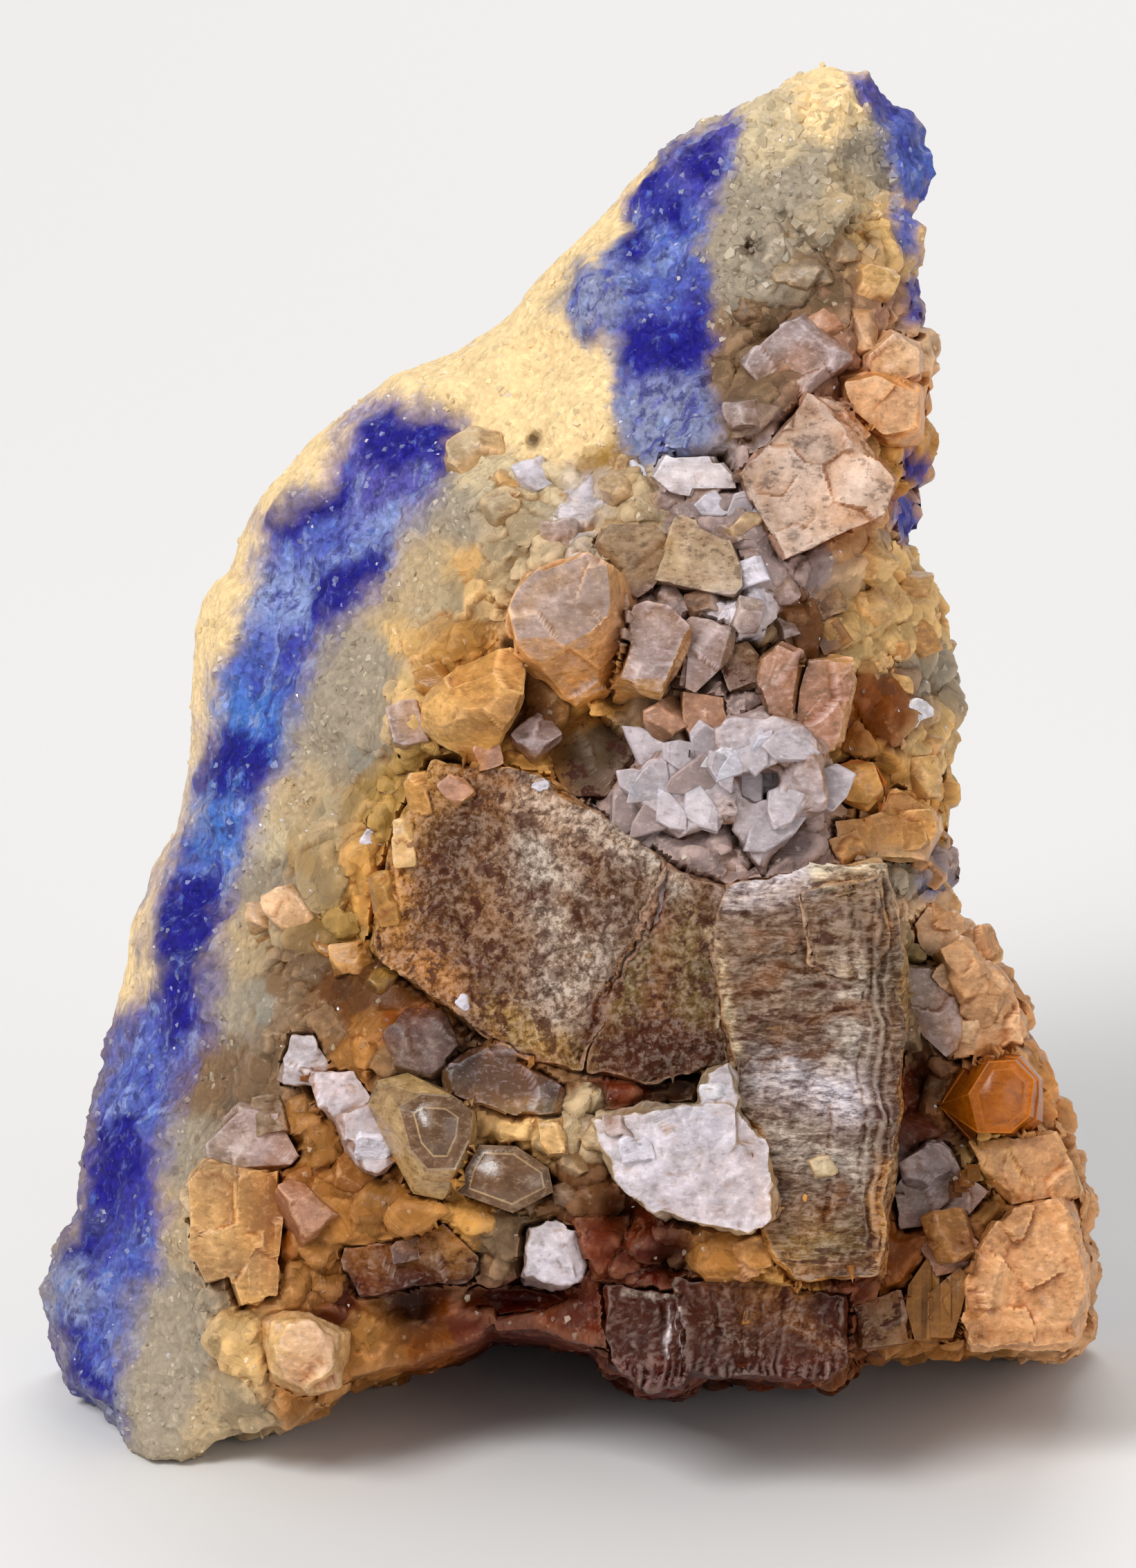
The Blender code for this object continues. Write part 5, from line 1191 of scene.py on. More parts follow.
# Marks on the three big books and the bottom one: kind, reach, line on the sheet
BOOK_MARKS = [
    ("golden", 3.4, [(30.6, 55.5), (28.6, 62.5), (27.0, 68.5)]), ("amber", 2.6, [(28.5, 68.5), (32.5, 72.0)]),
    ("olive_gold", 2.2, [(36.5, 73.5), (41.0, 76.5)]), ("book_brown", 2.6, [(32.5, 60.0), (31.5, 66.0)]),
    ("silver", 3.0, [(39.0, 62.0), (42.0, 68.5), (40.5, 72.0)]),
    ("book_brown", 1.6, [(34.5, 58.5), (33.5, 62.5)]),
    ("silver", 1.9, [(38.5, 57.4), (42.0, 58.8), (45.0, 60.8), (48.8, 63.4)]),
    ("white_lilac", 1.4, [(52.8, 64.6), (58.0, 64.2)]), ("olive", 2.0, [(50.0, 66.5), (50.3, 73.0)]),
    ("olive", 1.4, [(46.5, 68.5), (45.5, 73.5)]), ("white_lilac", 2.6, [(55.5, 77.5), (61.5, 79.5)]),
    ("silver", 2.4, [(62.0, 70.0), (61.5, 76.0)]), ("silver", 2.4, [(56.5, 82.5), (61.5, 84.5)]),
    ("red_brown", 0.40, [(48.3, 61.9), (47.8, 65.0), (47.0, 67.0), (44.5, 70.0), (43.5, 72.5), (42.0, 76.5)]),
    ("dark_red", 0.45, [(31.2, 74.0), (35.0, 75.0), (38.5, 76.6)]),
    ("brown", 0.35, [(54.0, 67.5), (57.2, 67.4)]), ("brown", 0.30, [(54.4, 68.7), (57.0, 68.8)]),
    ("brown", 0.35, [(54.5, 70.3), (58.8, 70.2)]), ("brown", 0.9, [(52.6, 72.2), (56.5, 70.2)]),
    ("brown", 0.9, [(56.4, 74.6), (62.6, 73.0)]), ("brown", 0.5, [(54.8, 76.4), (60.5, 75.8)]),
    ("stain", 1.5, [(31.2, 61.8), (31.0, 64.2)]), ("stain", 0.8, [(38.0, 65.4), (39.5, 65.0)]),
    ("stain", 0.6, [(33.5, 70.0), (35.5, 70.4)]), ("stain", 0.5, [(29.5, 67.5), (30.3, 67.6)]),
    ("stain", 0.5, [(36.0, 72.0), (37.2, 71.2)]), ("stain", 0.5, [(47.0, 74.5), (49.5, 74.2)]),
    ("stain", 0.4, [(58.5, 66.5), (61.0, 66.2)]), ("stain", 0.4, [(57.5, 72.0), (61.5, 71.6)]),
    ("brown", 1.3, [(41.2, 65.6), (42.4, 66.4)]),
    ("brown", 0.8, [(42.8, 63.4), (43.5, 64.0)]), ("dark_brown", 0.45, [(47.2, 71.2), (47.3, 71.3)]),
    ("dark_brown", 0.45, [(48.7, 71.1), (48.8, 71.1)]), ("stain", 2.8, [(45.8, 75.8), (50.8, 76.2)]),
    ("dark_brown", 1.1, [(63.5, 66.6), (63.6, 69.2)]), ("brown", 1.4, [(59.6, 87.2), (60.6, 86.4)]),
    ("olive", 2.2, [(56.5, 90.0), (63.5, 89.6)]), ("golden", 1.0, [(63.9, 84.5), (63.7, 91.0)]),
    ("cream_pale", 0.7, [(59.4, 63.8), (62.0, 62.9), (63.6, 62.5)]),
    ("cream_grey", 0.6, [(51.6, 67.4), (52.4, 70.0), (52.7, 76.0)]),
    ("silver", 0.4, [(44.8, 93.2), (49.3, 93.8)]), ("white_lilac", 0.22, [(48.5, 95.0), (48.6, 98.8)]),
    ("white_lilac", 0.22, [(49.6, 95.0), (49.7, 98.8)]),
    ("dark_red", 1.2, [(44.6, 99.2), (50.5, 100.3), (60.0, 99.6)]),
    ("dark_brown", 1.0, [(50.5, 96.0), (55.0, 97.5)]), ("brown", 1.0, [(57.0, 95.5), (60.5, 97.5)]),
]
# Cracks across the books: line on the sheet, reach and depth
CRACKS = [
    ([(48.3, 61.9), (47.8, 65.0), (47.0, 67.0), (44.5, 70.0), (43.5, 72.5), (42.0, 76.5)], 0.45, 0.6),
    ([(31.2, 74.0), (35.0, 75.0), (38.5, 76.6)], 0.45, 0.5),
    ([(58.0, 64.6), (58.3, 70.0)], 0.3, 0.3),
    ([(53.6, 69.4), (58.8, 69.0)], 0.3, 0.25),
    ([(47.6, 94.0), (47.7, 99.4)], 0.3, 0.3), ([(51.6, 93.4), (51.4, 98.6)], 0.3, 0.3),
    ([(53.6, 93.4), (53.5, 98.6)], 0.3, 0.25), ([(56.6, 94.0), (56.5, 98.8)], 0.3, 0.3),
    ([(33.0, 66.0), (34.2, 72.5)], 0.3, 0.25), ([(37.6, 60.5), (36.6, 66.0)], 0.25, 0.2),
    ([(53.5, 66.0), (59.0, 66.0)], 0.25, 0.25),
    ([(54.0, 71.8), (60.5, 71.4)], 0.3, 0.3), ([(55.0, 74.0), (61.0, 73.4)], 0.25, 0.25),
    ([(54.5, 77.5), (60.5, 77.0)], 0.25, 0.2),
    ([(61.4, 63.6), (62.0, 70.5)], 0.35, 0.4), ([(60.0, 80.0), (59.6, 88.0)], 0.3, 0.3),
    ([(62.4, 72.0), (62.2, 86.0)], 0.3, 0.3),
]
# Strips of standing sheets: line on the sheet, reach and the spacing of the sheets
RIDGES = [
    ([(29.0, 57.0), (28.0, 62.0), (26.5, 68.0)], 2.6, 1.1), ([(63.6, 63.5), (63.4, 90.0)], 1.3, 0.8),
    ([(46.0, 99.4), (60.5, 99.6)], 1.3, 0.7),
]


def make_book(node, ground):
    """A big mica book: layered sides, and a front of torn sheets with cracks, stains and bloom."""
    slot, stack, thickness, front_tone, side_tone = CRYSTALS[node]
    chance = random.Random(node)
    way = face_way(0.1 if node == "left_book" else 0.0, 1, 0)
    piece = merged_copy(node, node + "_shape")
    swell_out(piece, SEAT)
    layered(piece, face_way(*stack), thickness, chance)
    apply(piece, "REMESH", mode="VOXEL", voxel_size=0.2 * MM)
    mesh = piece.data
    places, ways = points_of(mesh), normals_of(mesh)
    x, y = sheet_places(places)[:2]
    facing = ways @ np.array(way)
    front = smooth((facing - 0.35) / 0.4)
    torn = grain_field(places, 0.16, 21, 4) + 0.25 * grain_field(places, 0.9, 22)
    sheet = np.floor(torn * 4) / 4
    flake = grain_field(places, 1.4, 23)
    height = front * (0.6 * sheet + 0.12 * flake + 0.08 * grain_field(places, 2.2, 25)) * MM
    for line, reach, sunk in CRACKS:
        height -= front * near_line(x + 0.15 * flake, y + 0.15 * torn, line, reach) * sunk * MM
    for line, reach, spacing in RIDGES:
        share = near_line(x, y, line, reach)
        height += front * share * 0.22 * np.sign(np.sin((x + 0.12 * flake) / spacing * math.tau)) * MM
    ragged = [
        0.55 * grain_field(places, 0.28, 61 + axis) + 0.22 * grain_field(places, 0.9, 71 + axis)
        for axis in range(3)
    ]
    places = places + np.stack(ragged, 1) * (1.0, 0.3, 1.0) * MM
    put_points(mesh, relaxed(mesh, places + ways * height[:, None], 1, 0.3))
    edge, crease = edges_and_creases(mesh, 0.2)[:2]
    sides = linear(side_tone) * 0.5 + ground_tone(x, y) * 0.5
    tone = linear(front_tone) * front[:, None] + sides * (1 - front[:, None])
    bent_x = x + 0.35 * flake + 0.5 * torn
    bent_y = y + 0.35 * grain_field(places, 1.1, 24) + 0.5 * torn
    bloom = np.full(len(places), BLOOM[node])
    for stain, reach, line in BOOK_MARKS:
        share = near_line(bent_x, bent_y, line, reach * 1.3) * front
        tone = tone * (1 - 0.85 * share[:, None]) + linear(stain) * 0.85 * share[:, None]
        pale = 1.0 if stain in ("white_lilac", "silver", "cream_pale", "cream_grey") else 0.1
        bloom = bloom * (1 - share) + pale * share
    tone = tone * (1 + 0.35 * (sheet - 0.1) + 0.25 * grain_field(places, 0.5, 27, 3))[:, None]
    tone = rooted(tone, places, x, y, ground)
    # Painted shade: creases are darkened and warmed.
    tone = tone * (1 - 0.8 * crease[:, None]) + tone * (0.5, 0.32, 0.2) * 0.8 * crease[:, None]
    mark(mesh, "tone", np.clip(tone, 0, 1))
    # Painted highlight: sharp edges marked to be paled in the finish.
    mark(mesh, "edge_highlight", edge * 0.7)
    mark(mesh, "bloom", bloom)
    mark(mesh, "dash", np.full(len(places), ROWS[node]))
    soften(piece, 55)
    return piece, slot


# Small crystals and grains, modelled once and copied

# Shape: sides, size, corner cuts as a spot and an outward way, and how far its top is set in and raised
SHAPES = {
    "block": (
        4, (1.3, 1.1, 0.9),
        [((0.30, 0.10, 0.30), (0.8, 0.3, 0.7)), ((-0.34, -0.2, 0.3), (-0.6, -0.5, 0.5))],
        (0.07, 0.05),
    ),
    "slab": (
        4, (1.4, 0.9, 0.6),
        [((0.42, 0.0, 0.1), (1.0, 0.2, 0.3)), ((0.0, -0.34, 0.2), (0.1, -0.9, 0.5))],
        (0.10, -0.05),
    ),
    "hexagon": (
        6, (1.05, 0.9, 0.8),
        [((0.0, 0.34, 0.3), (0.2, 0.8, 0.6))],
        (0.10, 0.06),
    ),
    "prism": (
        6, (0.7, 0.6, 1.5),
        [((0.0, 0.0, 0.55), (0.6, 0.2, 0.8)), ((0.0, 0.0, 0.60), (-0.5, 0.5, 0.9))],
        (0.04, 0.03),
    ),
    "wedge": (
        4, (1.2, 1.2, 1.0),
        [((0.1, 0.1, 0.25), (0.5, 0.5, 0.7)), ((-0.3, 0.0, 0.2), (-0.9, 0.1, 0.4))],
        (0.05, 0.04),
    ),
    "chip": (
        5, (1.1, 0.9, 0.5),
        [((0.2, -0.1, 0.1), (0.5, -0.4, 0.8)), ((-0.3, 0.2, 0.15), (-0.5, 0.3, 0.8))],
        (0.06, 0.03),
    ),
    "plate": (
        5, (1.5, 0.9, 0.4),
        [((0.45, 0.1, 0.0), (0.9, 0.5, 0.2)), ((-0.4, -0.2, 0.0), (-0.7, -0.6, 0.3)),
         ((0.0, 0.0, 0.17), (0.12, -0.1, 1.0))],
        (0.08, 0.03),
    ),
    "leaf": (
        4, (1.8, 1.15, 0.34),
        [((-0.50, 0.2, 0.0), (-0.8, 0.6, 0.1)), ((0.1, -0.34, 0.0), (0.2, -1.0, 0.2)),
         ((0.0, 0.0, 0.13), (0.10, 0.12, 1.0))],
        (0.05, 0.02),
    ),
    "grain": (
        5, (0.9, 0.8, 0.9),
        [((0.2, 0.1, 0.25), (0.5, 0.4, 0.7)), ((-0.2, -0.2, 0.2), (-0.6, -0.3, 0.6)),
         ((0.1, -0.2, -0.2), (0.3, -0.7, -0.6))],
        None,
    ),
}
# Shapes whose sides, and not whose corners, point to the right and up
SQUARE = {"block", "slab", "wedge"}
# Small crystals with a place of their own: sheet place, width and height, turn in degrees, shape and tone
PLACED = [
    (34.4, 32.8, 3.8, 3.2, 10, "hexagon", "beige"), (36.4, 36.4, 2.6, 2.4, 40, "hexagon", "cream_grey"),
    (38.6, 34.4, 2.8, 2.4, 20, "block", "white_lilac"),
    (36.6, 35.0, 1.8, 1.8, 60, "block", "golden_pale"), (40.4, 38.7, 2.6, 2.2, 5, "block", "lilac"),
    (44.5, 35.2, 2.4, 2.0, 30, "block", "beige"), (48.6, 43.2, 2.0, 1.8, 10, "block", "lilac"),
    (50.6, 43.6, 2.2, 1.8, 25, "block", "brown"), (52.4, 43.4, 1.8, 1.6, 70, "wedge", "beige"),
    (54.4, 41.4, 2.4, 2.2, 15, "block", "white_lilac"), (56.4, 42.6, 2.2, 2.4, 35, "block", "lilac"),
    (54.2, 44.6, 2.4, 2.0, 75, "block", "lilac"), (56.8, 45.4, 2.0, 1.8, 10, "wedge", "lilac"),
    (59.6, 43.4, 3.6, 2.8, 15, "slab", "grey_brown"), (60.4, 46.0, 3.0, 2.2, 20, "slab", "brown"),
    (63.2, 40.8, 3.0, 3.0, 50, "block", "golden_pale"),
    (63.0, 43.8, 3.4, 3.2, 20, "block", "golden_pale"),
    (66.0, 42.4, 3.2, 2.8, 65, "block", "golden_pale"), (66.6, 46.2, 2.8, 3.0, 15, "block", "golden"),
    (62.2, 56.6, 2.6, 2.8, 25, "hexagon", "golden"), (66.8, 56.2, 2.6, 3.2, 5, "block", "golden_pale"),
    (66.4, 51.6, 3.2, 1.5, 5, "plate", "white"), (67.2, 53.4, 1.8, 2.0, 35, "block", "golden_pale"),
    (38.8, 53.2, 3.2, 2.6, 40, "block", "lilac"), (35.0, 54.6, 2.6, 2.2, 15, "wedge", "rose"),
    (48.2, 52.0, 3.0, 2.8, 30, "block", "rose"), (29.6, 52.2, 2.8, 3.4, 15, "slab", "lilac"),
    (27.0, 60.3, 1.8, 1.4, 20, "plate", "white_lilac"), (31.2, 49.0, 2.4, 2.0, 30, "block", "golden"),
    (21.4, 65.6, 4.2, 3.8, 30, "block", "peach_pale"),
    (18.8, 66.2, 2.0, 2.2, 15, "block", "peach_pale"), (23.6, 68.4, 2.2, 1.8, 50, "wedge", "golden"),
    (25.4, 69.4, 3.2, 2.6, 10, "block", "golden"), (27.8, 70.8, 2.2, 2.0, 60, "block", "olive_gold"),
    (30.4, 75.4, 4.2, 4.4, 20, "hexagon", "lilac_dark"),
    (33.4, 72.6, 1.4, 1.2, 20, "plate", "white_lilac"), (22.2, 87.2, 3.4, 4.6, 20, "block", "rose"),
    (41.6, 84.2, 2.4, 2.2, 30, "block", "beige"), (42.4, 81.6, 2.8, 2.2, -20, "block", "grey_beige"),
    (40.2, 82.2, 2.2, 2.8, 12, "block", "golden_pale"),
    (39.0, 86.8, 2.4, 2.0, 30, "block", "grey_brown"), (43.2, 82.4, 1.8, 1.6, 60, "block", "beige"),
    (41.0, 86.4, 2.2, 1.8, 10, "block", "grey_brown"),
    (27.2, 82.4, 3.4, 2.6, 55, "plate", "white_lilac"),
    (59.6, 84.2, 2.0, 1.7, 15, "block", "cream_grey"), (66.8, 84.4, 3.6, 2.8, 30, "block", "lilac"),
    (54.0, 91.8, 1.9, 1.4, 0, "hexagon", "peach"), (39.2, 56.9, 1.4, 0.9, 20, "plate", "white_lilac"),
    (42.6, 61.4, 1.5, 0.9, 10, "plate", "white_lilac"),
    (44.8, 62.2, 1.8, 1.2, 35, "plate", "white_lilac"),
    (60.6, 18.0, 3.0, 2.4, 10, "block", "grey_beige"),
    (57.4, 19.8, 2.8, 3.4, 80, "prism", "grey_beige"),
    (63.4, 20.6, 2.6, 3.0, 70, "block", "golden_pale"), (57.6, 26.0, 7.2, 5.4, 42, "slab", "lilac"),
    (54.2, 22.4, 2.4, 2.2, 15, "block", "grey_brown"),
    (62.4, 24.0, 2.4, 3.4, -12, "block", "peach_pale"), (59.8, 23.4, 2.2, 2.0, 40, "block", "rose"),
    (59.4, 20.2, 1.5, 1.7, 5, "block", "grey_beige"), (53.6, 30.0, 2.6, 2.2, 20, "block", "lilac"),
    (69.6, 69.6, 3.0, 3.6, 25, "block", "peach"), (71.0, 72.6, 3.0, 2.6, 60, "block", "peach"),
    (68.6, 89.4, 3.0, 4.0, 25, "block", "amber"), (61.4, 61.2, 2.6, 2.2, 10, "slab", "golden"),
    (66.0, 60.4, 2.6, 2.0, 5, "slab", "golden"), (25.6, 84.6, 2.8, 2.6, 50, "hexagon", "amber"),
    (29.4, 90.4, 2.4, 1.8, 15, "slab", "lilac_dark"), (19.6, 80.6, 2.8, 3.2, 15, "slab", "grey_brown"),
    (30.4, 57.4, 1.8, 3.6, 8, "slab", "golden"), (29.2, 61.0, 1.8, 4.0, 12, "slab", "golden_pale"),
    (27.8, 65.0, 1.8, 4.0, 14, "slab", "golden"), (54.4, 90.6, 3.0, 2.4, 10, "block", "golden"),
    (33.0, 57.0, 2.2, 2.4, 40, "block", "rose"),
]
# Flat pointed plates that lie on each other like leaves: outline on the sheet, spacing, sizes and tones
LEAVES = [
    (
        [(44.1, 56.8), (46.4, 54.2), (47.2, 52.4), (49.0, 52.6), (51.0, 53.6), (54.5, 52.6),
         (58.0, 53.2), (60.4, 55.4), (59.6, 58.0), (57.0, 60.0), (55.4, 62.0), (53.6, 60.4),
         (49.5, 60.4), (46.0, 59.6), (43.8, 58.2)],
        2.3, (3.4, 5.2), ("lilac_pale", "lilac", "lilac_pale"),
    ),
    (
        [(51.4, 53.4), (55.2, 53.2), (55.8, 55.6), (53.6, 56.2), (51.8, 55.4)],
        1.9, (2.6, 3.6), ("white", "white_lilac"),
    ),
    (
        [(44.5, 35.5), (47.0, 33.5), (52.5, 34.5), (56.0, 38.5), (53.5, 39.5)],
        2.6, (2.0, 3.0), ("lilac_pale", "white_lilac"),
    ),
    (
        [(43.5, 59.5), (46.0, 60.5), (48.5, 62.6), (45.0, 61.8)],
        1.9, (1.2, 1.7), ("white_lilac", "lilac_pale"),
    ),
]
# Groups of broken plates: outline on the sheet, spacing, sizes, shapes, tones and how wildly they lie
GROUPS = [
    (
        [(44.0, 80.8), (47.0, 80.4), (46.5, 84.0)],
        1.8, (1.5, 2.4), ("plate", "block"), ("white_lilac", "lilac"), 0.22, 0.15,
    ),
    (
        [(50.5, 77.5), (53.4, 79.0), (52.5, 81.5)],
        1.8, (1.5, 2.4), ("plate", "block"), ("white_lilac", "white"), 0.22, 0.15,
    ),
    (
        [(53.0, 36.5), (50.0, 33.5), (42.0, 33.5), (41.5, 35.5), (47.0, 36.5), (55.0, 39.0)],
        2.1, (1.6, 3.0), ("block", "plate"), ("white_lilac", "lilac", "lilac", "beige"), 0.18, 0.15,
    ),
    (
        [(62.0, 47.5), (65.8, 47.0), (66.8, 50.0), (66.0, 54.5), (64.8, 54.8), (65.6, 51.0),
         (64.6, 48.8)],
        1.5, (1.2, 2.2), ("block", "chip"), ("golden_pale", "golden", "peach_pale"), 0.25, 0.15,
    ),
    (
        [(66.0, 60.5), (69.5, 66.5), (74.5, 70.5), (74.0, 74.5), (69.5, 71.0), (67.5, 66.5)],
        2.4, (2.4, 3.8), ("block", "slab"), ("peach", "golden_pale", "peach"), 0.16, 0.2,
    ),
]


def modelled(name):
    """A small crystal: a prism with its corners cut, its top stepped and its edges worn."""
    sides, size, cuts, step = SHAPES[name]
    hold_none()
    square = math.radians(45) if name in SQUARE else 0
    bpy.ops.mesh.primitive_cylinder_add(vertices=sides, radius=0.5, depth=1.0, rotation=(0, 0, square))
    piece = bpy.context.object
    bpy.ops.object.transform_apply(location=False, rotation=True, scale=False)
    piece.scale = size
    bpy.ops.object.transform_apply(location=False, rotation=False, scale=True)
    bpy.ops.object.mode_set(mode="EDIT")
    bpy.ops.mesh.select_mode(type="FACE")
    for spot, way in cuts:
        bpy.ops.mesh.select_all(action="SELECT")
        bpy.ops.mesh.bisect(plane_co=spot, plane_no=way, use_fill=True, clear_outer=True)
    bpy.ops.object.mode_set(mode="OBJECT")
    if step:
        top = max(piece.data.polygons, key=lambda face: face.normal.z).index
        pick_faces(piece.data, lambda face: face.index == top)
        bpy.ops.object.mode_set(mode="EDIT")
        bpy.ops.mesh.inset(thickness=step[0])
        bpy.ops.transform.translate(value=(0, 0, step[1]))
        bpy.ops.object.mode_set(mode="OBJECT")
    flats = [face.normal.copy() for face in piece.data.polygons]
    if step:
        apply(piece, "BEVEL", width=0.035, segments=1, limit_method="ANGLE", angle_limit=math.radians(30))
    mesh = piece.data
    sorted_faces = sorted(mesh.polygons, key=lambda face: along(face.center))
    # Painted highlight: the bevelled edge faces are marked to be paled in the finish.
    edge_highlights = [0.0 if max(face.normal.dot(flat) for flat in flats) > 0.985 else 1.0 for face in sorted_faces]
    faces = [tuple(face.vertices) for face in sorted_faces]
    shape = (points_of(mesh), faces, edge_highlights)
    bpy.data.objects.remove(piece)
    return shape


def joined_copies(name, copies, shapes):
    """One mesh from many copies of the modelled shapes, and the copy that each face belongs to."""
    points, faces, owners = [], [], []
    start = 0
    for number, (shape, matrix, tone) in enumerate(copies):
        own_points, own_faces, own_edge_highlights = shapes[shape]
        turned = np.array(matrix)
        own = own_points @ turned[:3, :3].T + turned[:3, 3]
        own[:, 2] = np.maximum(own[:, 2], 0)
        points.append(own)
        faces += [tuple(start + corner for corner in face) for face in own_faces]
        owners += [number] * len(own_faces)
        start += len(own_points)
    mesh = bpy.data.meshes.new(name)
    mesh.from_pydata([tuple(point) for point in np.concatenate(points)], [], faces)
    mesh.update()
    piece = bpy.data.objects.new(name, mesh)
    bpy.context.collection.objects.link(piece)
    return piece, owners


def strewn(name, copies, shapes, finish, slot, chance):
    """One piece from many copies of the modelled shapes: each copy has its shape, its place and its tone."""
    piece, owners = joined_copies(name, copies, shapes)
    tones, edge_highlights, stacks = [], [], []
    for shape, matrix, tone in copies:
        own_points, own_faces, own_edge_highlights = shapes[shape]
        stacks.append(own_points[:, 2] * np.linalg.norm(np.array(matrix)[:3, 2]) / MM + chance.uniform(0, 50))
        tones += [tone * chance.uniform(0.86, 1.14) for _ in own_faces]
        edge_highlights += own_edge_highlights
    mark(piece.data, "tone", np.clip(tones, 0, 1), "FACE")
    mark(piece.data, "edge_highlight", edge_highlights, "FACE")
    mark(piece.data, "stack", np.concatenate(stacks))
    done(piece, finish, slot)
    print(name, len(copies), "copies", len(piece.data.polygons), "faces")
    return piece


def grown_together(name, copies, shapes, voxel, ground):
    """Copies of the modelled shapes fused into one piece, with chipped faces, painted highlights on the
    edges, painted shade on the sides, in the creases and at the darker ones' roots, where they blend into the
    ground.
    """
    piece, owners = joined_copies(name, copies, shapes)
    tree = tree_of([piece])
    apply(piece, "REMESH", mode="VOXEL", voxel_size=voxel * MM)
    mesh = piece.data
    places, ways = points_of(mesh), normals_of(mesh)
    owner = np.array([owners[tree.find_nearest(Vector(place))[2]] for place in places])
    places = back_on(tree, places, voxel)
    chipped, cell, seeds, draws = facets(places, ways, 1.7, 1.0, 0.07, 0.03, 0.3)
    chip = 0.03 * grain_field(places, 1.8, 41) + 0.05 * grain_field(places, 0.8, 42)
    chipped += ways * (chip * MM)[:, None]
    chipped = relaxed(mesh, chipped, 1, 0.15)
    chipped[:, 2] = np.maximum(chipped[:, 2], 0)
    put_points(mesh, chipped)
    x, y = sheet_places(chipped)[:2]
    edge, crease = edges_and_creases(mesh, voxel)[:2]
    shade = (0.9 + 0.2 * draws[:, 0])[cell] * (1 + 0.2 * grain_field(places, 0.6, 43, 2))
    axes = np.array([np.array(matrix)[:3, 2] for shape, matrix, tone in copies])
    axes /= np.linalg.norm(axes, axis=1)[:, None]
    top = smooth(((normals_of(mesh) * axes[owner]).sum(1) - 0.4) / 0.4)[:, None]
    own = np.array([tone for shape, matrix, tone in copies])[owner]
    # Painted shade: faces turned away from each crystal's axis are darkened and blended towards the ground's
    # tone.
    tone = own * top + (own * 0.5 + ground_tone(x, y) * 0.35) * (1 - top)
    pale = (own.min(1) > 0.5)[:, None]
    tone = np.where(pale, own * shade[:, None], rooted(tone * shade[:, None], chipped, x, y, ground))
    # Painted shade: creases are darkened and warmed.
    tone = tone * (1 - crease[:, None]) + tone * (0.75, 0.52, 0.34) * crease[:, None]
    mark(mesh, "tone", np.clip(tone, 0, 1))
    # Painted highlight: sharp edges marked to be paled in the finish.
    mark(mesh, "edge_highlight", edge)
    mark(mesh, "stack", (chipped * axes[owner]).sum(1) / MM + owner * 3.7)
    soften(piece, 50)
    return piece


def seat_on(tree, x, y):
    """Where the line of sight through a place on the sheet meets the stone, and the skin's outward way."""
    eye = STAND @ Vector((0, -SIGHT, CENTRE_HEIGHT))
    aim = (on_stone(x, y, 0) - eye).normalized()
    spot, way, face, gap = tree.ray_cast(eye, aim)
    if spot is None:
        return None, None
    return spot, way if way.dot(aim) < 0 else -way


def crystal_frame(spot, way, size, turn, chance, wildness, sunk):
    """Where a small crystal goes: its axis between the skin's way and the front's, tipped, its foot sunk."""
    axis = way * 0.5 + face_way(0.05, 1, 0.1) * 0.7
    axis += Vector((chance.gauss(0, wildness), chance.gauss(0, wildness), chance.gauss(0, wildness)))
    axis.normalize()
    level = axis.to_track_quat("Z", "Y").to_matrix().to_4x4()
    scale = Matrix.Diagonal((size[0] * MM, size[1] * MM, size[2] * MM, 1))
    place = Matrix.Translation(spot - axis * sunk * size[2] * MM)
    return place @ level @ Matrix.Rotation(turn, 4, "Z") @ scale


def slot_for(tone, chance):
    """The finish that goes with a tone."""
    red, green, blue = tone
    if blue > 0.62 * red:
        return "white_calcite" if red > 0.62 else "lilac_mica"
    if red < 0.30:
        return "clear_amber" if blue < 0.12 * red and chance.random() < 0.4 else "brown_mica"
    return "clear_amber" if blue < 0.2 * red and chance.random() < 0.25 else "golden_mica"


